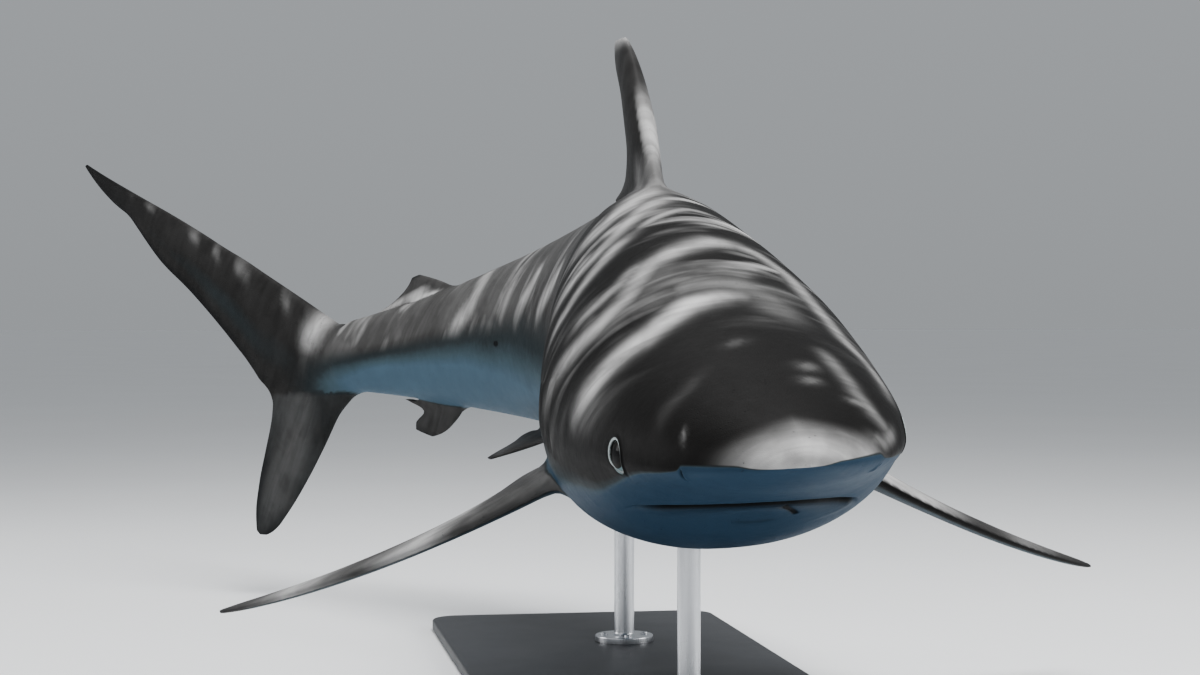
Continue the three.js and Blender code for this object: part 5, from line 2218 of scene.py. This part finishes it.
@dataclass(frozen=True)
class Stand:
    """Flat base with rounded edges, two rods on flanges, and screws in the flanges.

    Lengths are in metres. The rods reach into the belly by reach_in.
    """

    corner_radius: float = 0.040
    edge: float = 0.003
    corner_steps: int = 12
    edge_steps: int = 4
    flange_radius: float = 0.038
    flange_height: float = 0.008
    flange_edge: float = 0.0022
    rod_radius: float = 0.013
    rod_foot: float = 0.0045
    reach_in: float = 0.005
    segments: int = 72
    screws: int = 4
    screw_circle: float = 0.0265
    screw_radius: float = 0.0048
    screw_height: float = 0.0026
    screw_socket: float = 0.0021
    screw_segments: int = 24
    coat: StandFinish = StandFinish(MetalTexture.POWDER_COAT, (0.030, 0.032, 0.036),
                                    (0.042, 0.044, 0.048), 0.46, 0.0)
    steel: StandFinish = StandFinish(MetalTexture.BRUSHED_STEEL, (0.55, 0.56, 0.58),
                                     (0.68, 0.69, 0.71), 0.30, 1.0)

    def build(self) -> list[Object]:
        """Builds the base, the rods and their screws.

        Returns:
            The pieces.
        """
        coat, steel = self.coat.material(), self.steel.material()
        pieces = [self.base(coat)]
        for place in RodPlace:
            pieces += self.rod(place, steel)
        return pieces

    def base(self, finish: Material) -> Object:
        """Plate with rounded corners and edges.

        Args:
            finish: material of the plate.

        Returns:
            The plate.
        """
        low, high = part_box("stand_base")
        work = bmesh.new()
        corners = []
        for k, (right, rear) in enumerate(((1, 1), (-1, 1), (-1, -1), (1, -1))):
            x = (high.x if right > 0 else low.x) - right * self.corner_radius
            y = (high.y if rear > 0 else low.y) - rear * self.corner_radius
            for i in range(self.corner_steps + 1):
                angle = math.pi / 2 * (k + i / self.corner_steps)
                corners.append(work.verts.new((x + self.corner_radius * math.cos(angle),
                                               y + self.corner_radius * math.sin(angle), low.z)))
        plan = work.faces.new(corners)
        grown = bmesh.ops.extrude_face_region(work, geom=[plan])["geom"]
        bmesh.ops.translate(work, vec=(0, 0, high.z - low.z),
                            verts=[part for part in grown if isinstance(part, BMVert)])
        bmesh.ops.recalc_face_normals(work, faces=work.faces)
        rim = [edge for edge in work.edges if edge.calc_face_angle(0) > 1]
        bmesh.ops.bevel(work, geom=rim, offset=self.edge, segments=self.edge_steps, profile=0.5,
                        affect="EDGES")
        mesh = outward_mesh("stand_plate", work, 30)
        mesh.materials.append(finish)
        piece = scene_object("stand_plate", mesh)
        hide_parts("stand_base")
        return piece

    def rod(self, place: RodPlace, finish: Material) -> list[Object]:
        """Rod with its flange and the screws in it.

        Args:
            place: which rod.
            finish: material of the metal.

        Returns:
            The rod and its screws.
        """
        low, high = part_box(f"stand_rod_{place.value}")
        centre = (low + high) / 2
        top, deck = high.z + self.reach_in, low.z + self.flange_height
        wide, slim = self.flange_radius, self.rod_radius
        profile = [(wide, low.z),
                   *rounded((wide, deck), (wide, low.z), (slim, deck), self.flange_edge),
                   *rounded((slim, deck), (wide, deck), (slim, top), self.rod_foot),
                   (slim, (deck + top) / 2), (slim, top)]
        work = bmesh.new()
        foot = work.verts.new((centre.x, centre.y, low.z))
        rows = [turned_row(work, radius, height, self.segments, centre)
                for radius, height in profile]
        head = work.verts.new((centre.x, centre.y, top))
        wrap(work, [[foot] * self.segments, *rows, [head] * self.segments])
        mesh = outward_mesh(f"stand_post_{place.value}", work, 40)
        mesh.materials.append(finish)
        piece = scene_object(mesh.name, mesh)
        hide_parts(f"stand_rod_{place.value}")
        return [piece, self.screw_ring(place, Vector((centre.x, centre.y, deck)), finish)]

    def screw_head(self) -> Object:
        """Low round head with a hexagonal socket.

        Returns:
            The head, standing at the origin.
        """
        wide, count = self.screw_radius, self.screw_segments
        turn = 2 * np.pi * np.arange(count) / count
        flat = math.cos(math.pi / 6) / np.cos(turn % (math.pi / 3) - math.pi / 6)
        socket = self.screw_socket * flat
        work = bmesh.new()
        rows = [turned_row(work, radius, share * self.screw_height, count, Vector())
                for radius, share in ((wide, 0.0), (wide, 0.55), (wide * 0.94, 0.8),
                                      (wide * 0.8, 1.0), (socket, 1.0), (socket, 0.35))]
        wrap(work, rows)
        work.faces.new(rows[0][::-1])
        work.faces.new(rows[-1])
        return scene_object("screw_head", outward_mesh("screw_head", work, 35))

    @staticmethod
    def ring_nodes() -> tuple[bpy.types.NodeTree, dict[str, str]]:
        """Tree that sets out copies of a screw on a circle.

        Returns:
            The tree, and the identifier of each named input.
        """
        tree = bpy.data.node_groups.new("ring_of_screws", "GeometryNodeTree")
        inputs = {"Screw": "Object", "Count": "Int", "Circle radius": "Float", "Centre": "Vector",
                  "Finish": "Material"}
        sockets = {name: tree.interface.new_socket(name, in_out="INPUT",
                                                   socket_type=f"NodeSocket{kind}")
                   for name, kind in inputs.items()}
        tree.interface.new_socket("Geometry", in_out="OUTPUT", socket_type="NodeSocketGeometry")

        def add(kind: str, **feeds: NodeSocket) -> bpy.types.bpy_prop_collection:
            """Adds a node.

            Args:
                kind: the node's type.
                feeds: sockets linked to its inputs, by name.

            Returns:
                Its outputs.
            """
            node = tree.nodes.new(kind)
            for name, socket in feeds.items():
                tree.links.new(socket, node.inputs[name])
            return node.outputs

        given = add("NodeGroupInput")
        circle = add("GeometryNodeMeshCircle", Vertices=given["Count"],
                     Radius=given["Circle radius"])
        shift = add("GeometryNodeTransform", Geometry=circle["Mesh"], Translation=given["Centre"])
        screw = add("GeometryNodeObjectInfo", Object=given["Screw"])
        copies = add("GeometryNodeInstanceOnPoints", Points=shift["Geometry"],
                     Instance=screw["Geometry"])
        real = add("GeometryNodeRealizeInstances", Geometry=copies["Instances"])
        dress = add("GeometryNodeSetMaterial", Geometry=real["Geometry"],
                    Material=given["Finish"])
        add("NodeGroupOutput", Geometry=dress["Geometry"])
        return tree, {name: socket.identifier for name, socket in sockets.items()}

    def screw_ring(self, place: RodPlace, centre: Vector,
                   finish: Material) -> Object:
        """Screws spaced evenly round a flange, set out by Geometry Nodes.

        Args:
            place: which rod the flange belongs to.
            centre: middle of the flange's top.
            finish: material of the metal.

        Returns:
            One mesh with the flange's screws.
        """
        head = self.screw_head()
        tree, identifiers = self.ring_nodes()
        holder = scene_object("screw_holder", bpy.data.meshes.new("screw_holder"))
        modifier = holder.modifiers.new("ring_of_screws", "NODES")
        modifier.node_group = tree
        values = {"Screw": head, "Count": self.screws, "Circle radius": self.screw_circle,
                  "Centre": centre, "Finish": finish}
        for name, value in values.items():
            modifier[identifiers[name]] = value
        depsgraph = bpy.context.evaluated_depsgraph_get()
        mesh = bpy.data.meshes.new_from_object(holder.evaluated_get(depsgraph))
        for helper in (holder, head):
            bpy.data.objects.remove(helper)
        mesh.name = f"stand_screws_{place.value}"
        piece = scene_object(mesh.name, mesh)
        return piece


# ---------------------------------------------------------------- floor, light and camera
@dataclass(frozen=True)
class Lamp:
    """Square soft light aimed at a point, in metres and watts."""

    name: str
    place: tuple[float, float, float]
    aim: tuple[float, float, float]
    size: float
    power: float

    def build(self) -> None:
        """Hangs up the lamp."""
        lamp = bpy.data.lights.new(self.name, "AREA")
        lamp.shape, lamp.size, lamp.energy = "SQUARE", self.size, self.power
        holder = scene_object(self.name, lamp)
        holder.location = self.place
        aim = Vector(self.aim) - Vector(self.place)
        holder.rotation_euler = aim.to_track_quat("-Z", "Y").to_euler()


@dataclass(frozen=True)
class Studio:
    """Plain pale floor, soft light from above and the camera in front of the snout."""

    camera_place: tuple[float, float, float] = (-0.4833, -2.6225, 0.4497)
    camera_yaw: float = 9.5235
    camera_pitch: float = -0.7328
    focal_length: float = 66.814
    sensor_width: float = 36.0
    clip_end: float = 200.0
    look: str = "AgX - Medium High Contrast"
    floor_size: float = 90.0
    floor_finish: FloorFinish = FloorFinish()
    air: tuple[tuple[float, Colour], ...] = ((0.0, (0.47, 0.49, 0.51)), (0.6, (0.62, 0.645, 0.67)))
    air_strength: float = 0.65
    lamps: tuple[Lamp, ...] = (
        Lamp("key_over_snout", (0.35, -1.0, 3.1), (0.0, -0.3, 0.4), 1.8, 120),
        Lamp("key_over_tail", (-0.4, 0.9, 3.2), (-0.2, 0.6, 0.4), 1.6, 22),
        Lamp("fill_front", (-2.6, -3.4, 1.9), (-0.1, -0.5, 0.3), 2.4, 15),
        Lamp("rim_left", (3.0, -0.8, 1.6), (0.1, -0.3, 0.4), 1.6, 34),
        Lamp("rim_right", (-2.7, 1.1, 1.1), (-0.1, -0.6, 0.35), 1.2, 22))

    def build(self) -> None:
        """Builds the floor, lights, air and camera."""
        bpy.context.scene.view_settings.look = self.look
        self.floor()
        for lamp in self.lamps:
            lamp.build()
        self.surroundings()
        self.camera()

    def surroundings(self) -> None:
        """Pale air all round, a little darker at the level of the floor's far edge."""
        world = bpy.data.worlds.new("air")
        bpy.context.scene.world = world
        world.use_nodes = True
        nodes, link = world.node_tree.nodes, world.node_tree.links.new
        background = next(n for n in nodes if n.type == "BACKGROUND")
        place, parts = nodes.new("ShaderNodeTexCoord"), nodes.new("ShaderNodeSeparateXYZ")
        ramp = nodes.new("ShaderNodeValToRGB")
        Recipe.set_stops(ramp.color_ramp, self.air)
        link(place.outputs["Generated"], parts.inputs[0])
        link(parts.outputs["Z"], ramp.inputs[0])
        link(ramp.outputs[0], background.inputs["Color"])
        background.inputs["Strength"].default_value = self.air_strength

    def floor(self) -> None:
        """Large plain floor."""
        mesh = bpy.data.meshes.new("floor")
        half = self.floor_size / 2
        corners = [(x * half, y * half, 0) for x, y in ((-1, -1), (1, -1), (1, 1), (-1, 1))]
        mesh.from_pydata(corners, [], [(0, 1, 2, 3)])
        mesh.materials.append(self.floor_finish.material())
        scene_object("floor", mesh)

    def camera(self) -> None:
        """Camera level with the snout, a little to the shark's right."""
        lens = bpy.data.cameras.new("view")
        lens.sensor_fit, lens.sensor_width = "HORIZONTAL", self.sensor_width
        lens.lens, lens.clip_end = self.focal_length, self.clip_end
        holder = scene_object("view", lens)
        holder.location = self.camera_place
        holder.rotation_euler = (math.radians(90 + self.camera_pitch), 0,
                                 -math.radians(self.camera_yaw))
        bpy.context.scene.camera = holder


def main() -> None:
    """Builds the shark, its eyes, the stand and the studio."""
    logging.basicConfig(level=logging.INFO, format="%(name)s: %(message)s")
    spine, trunk = Spine(), TrunkForm()
    opening = EyeOpening(trunk)
    eye_finish = EyePaint().material()
    pieces = [SharkSkin(spine, trunk).build()]
    pieces += [Eye(spine, opening, hand).build(eye_finish) for hand in Hand]
    pieces += Stand().build()
    for piece in pieces:
        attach(piece, BODY)
        LOG.info("%s: %d faces", piece.name, len(piece.data.polygons))
    Studio().build()


if __name__ == "__main__":
    main()
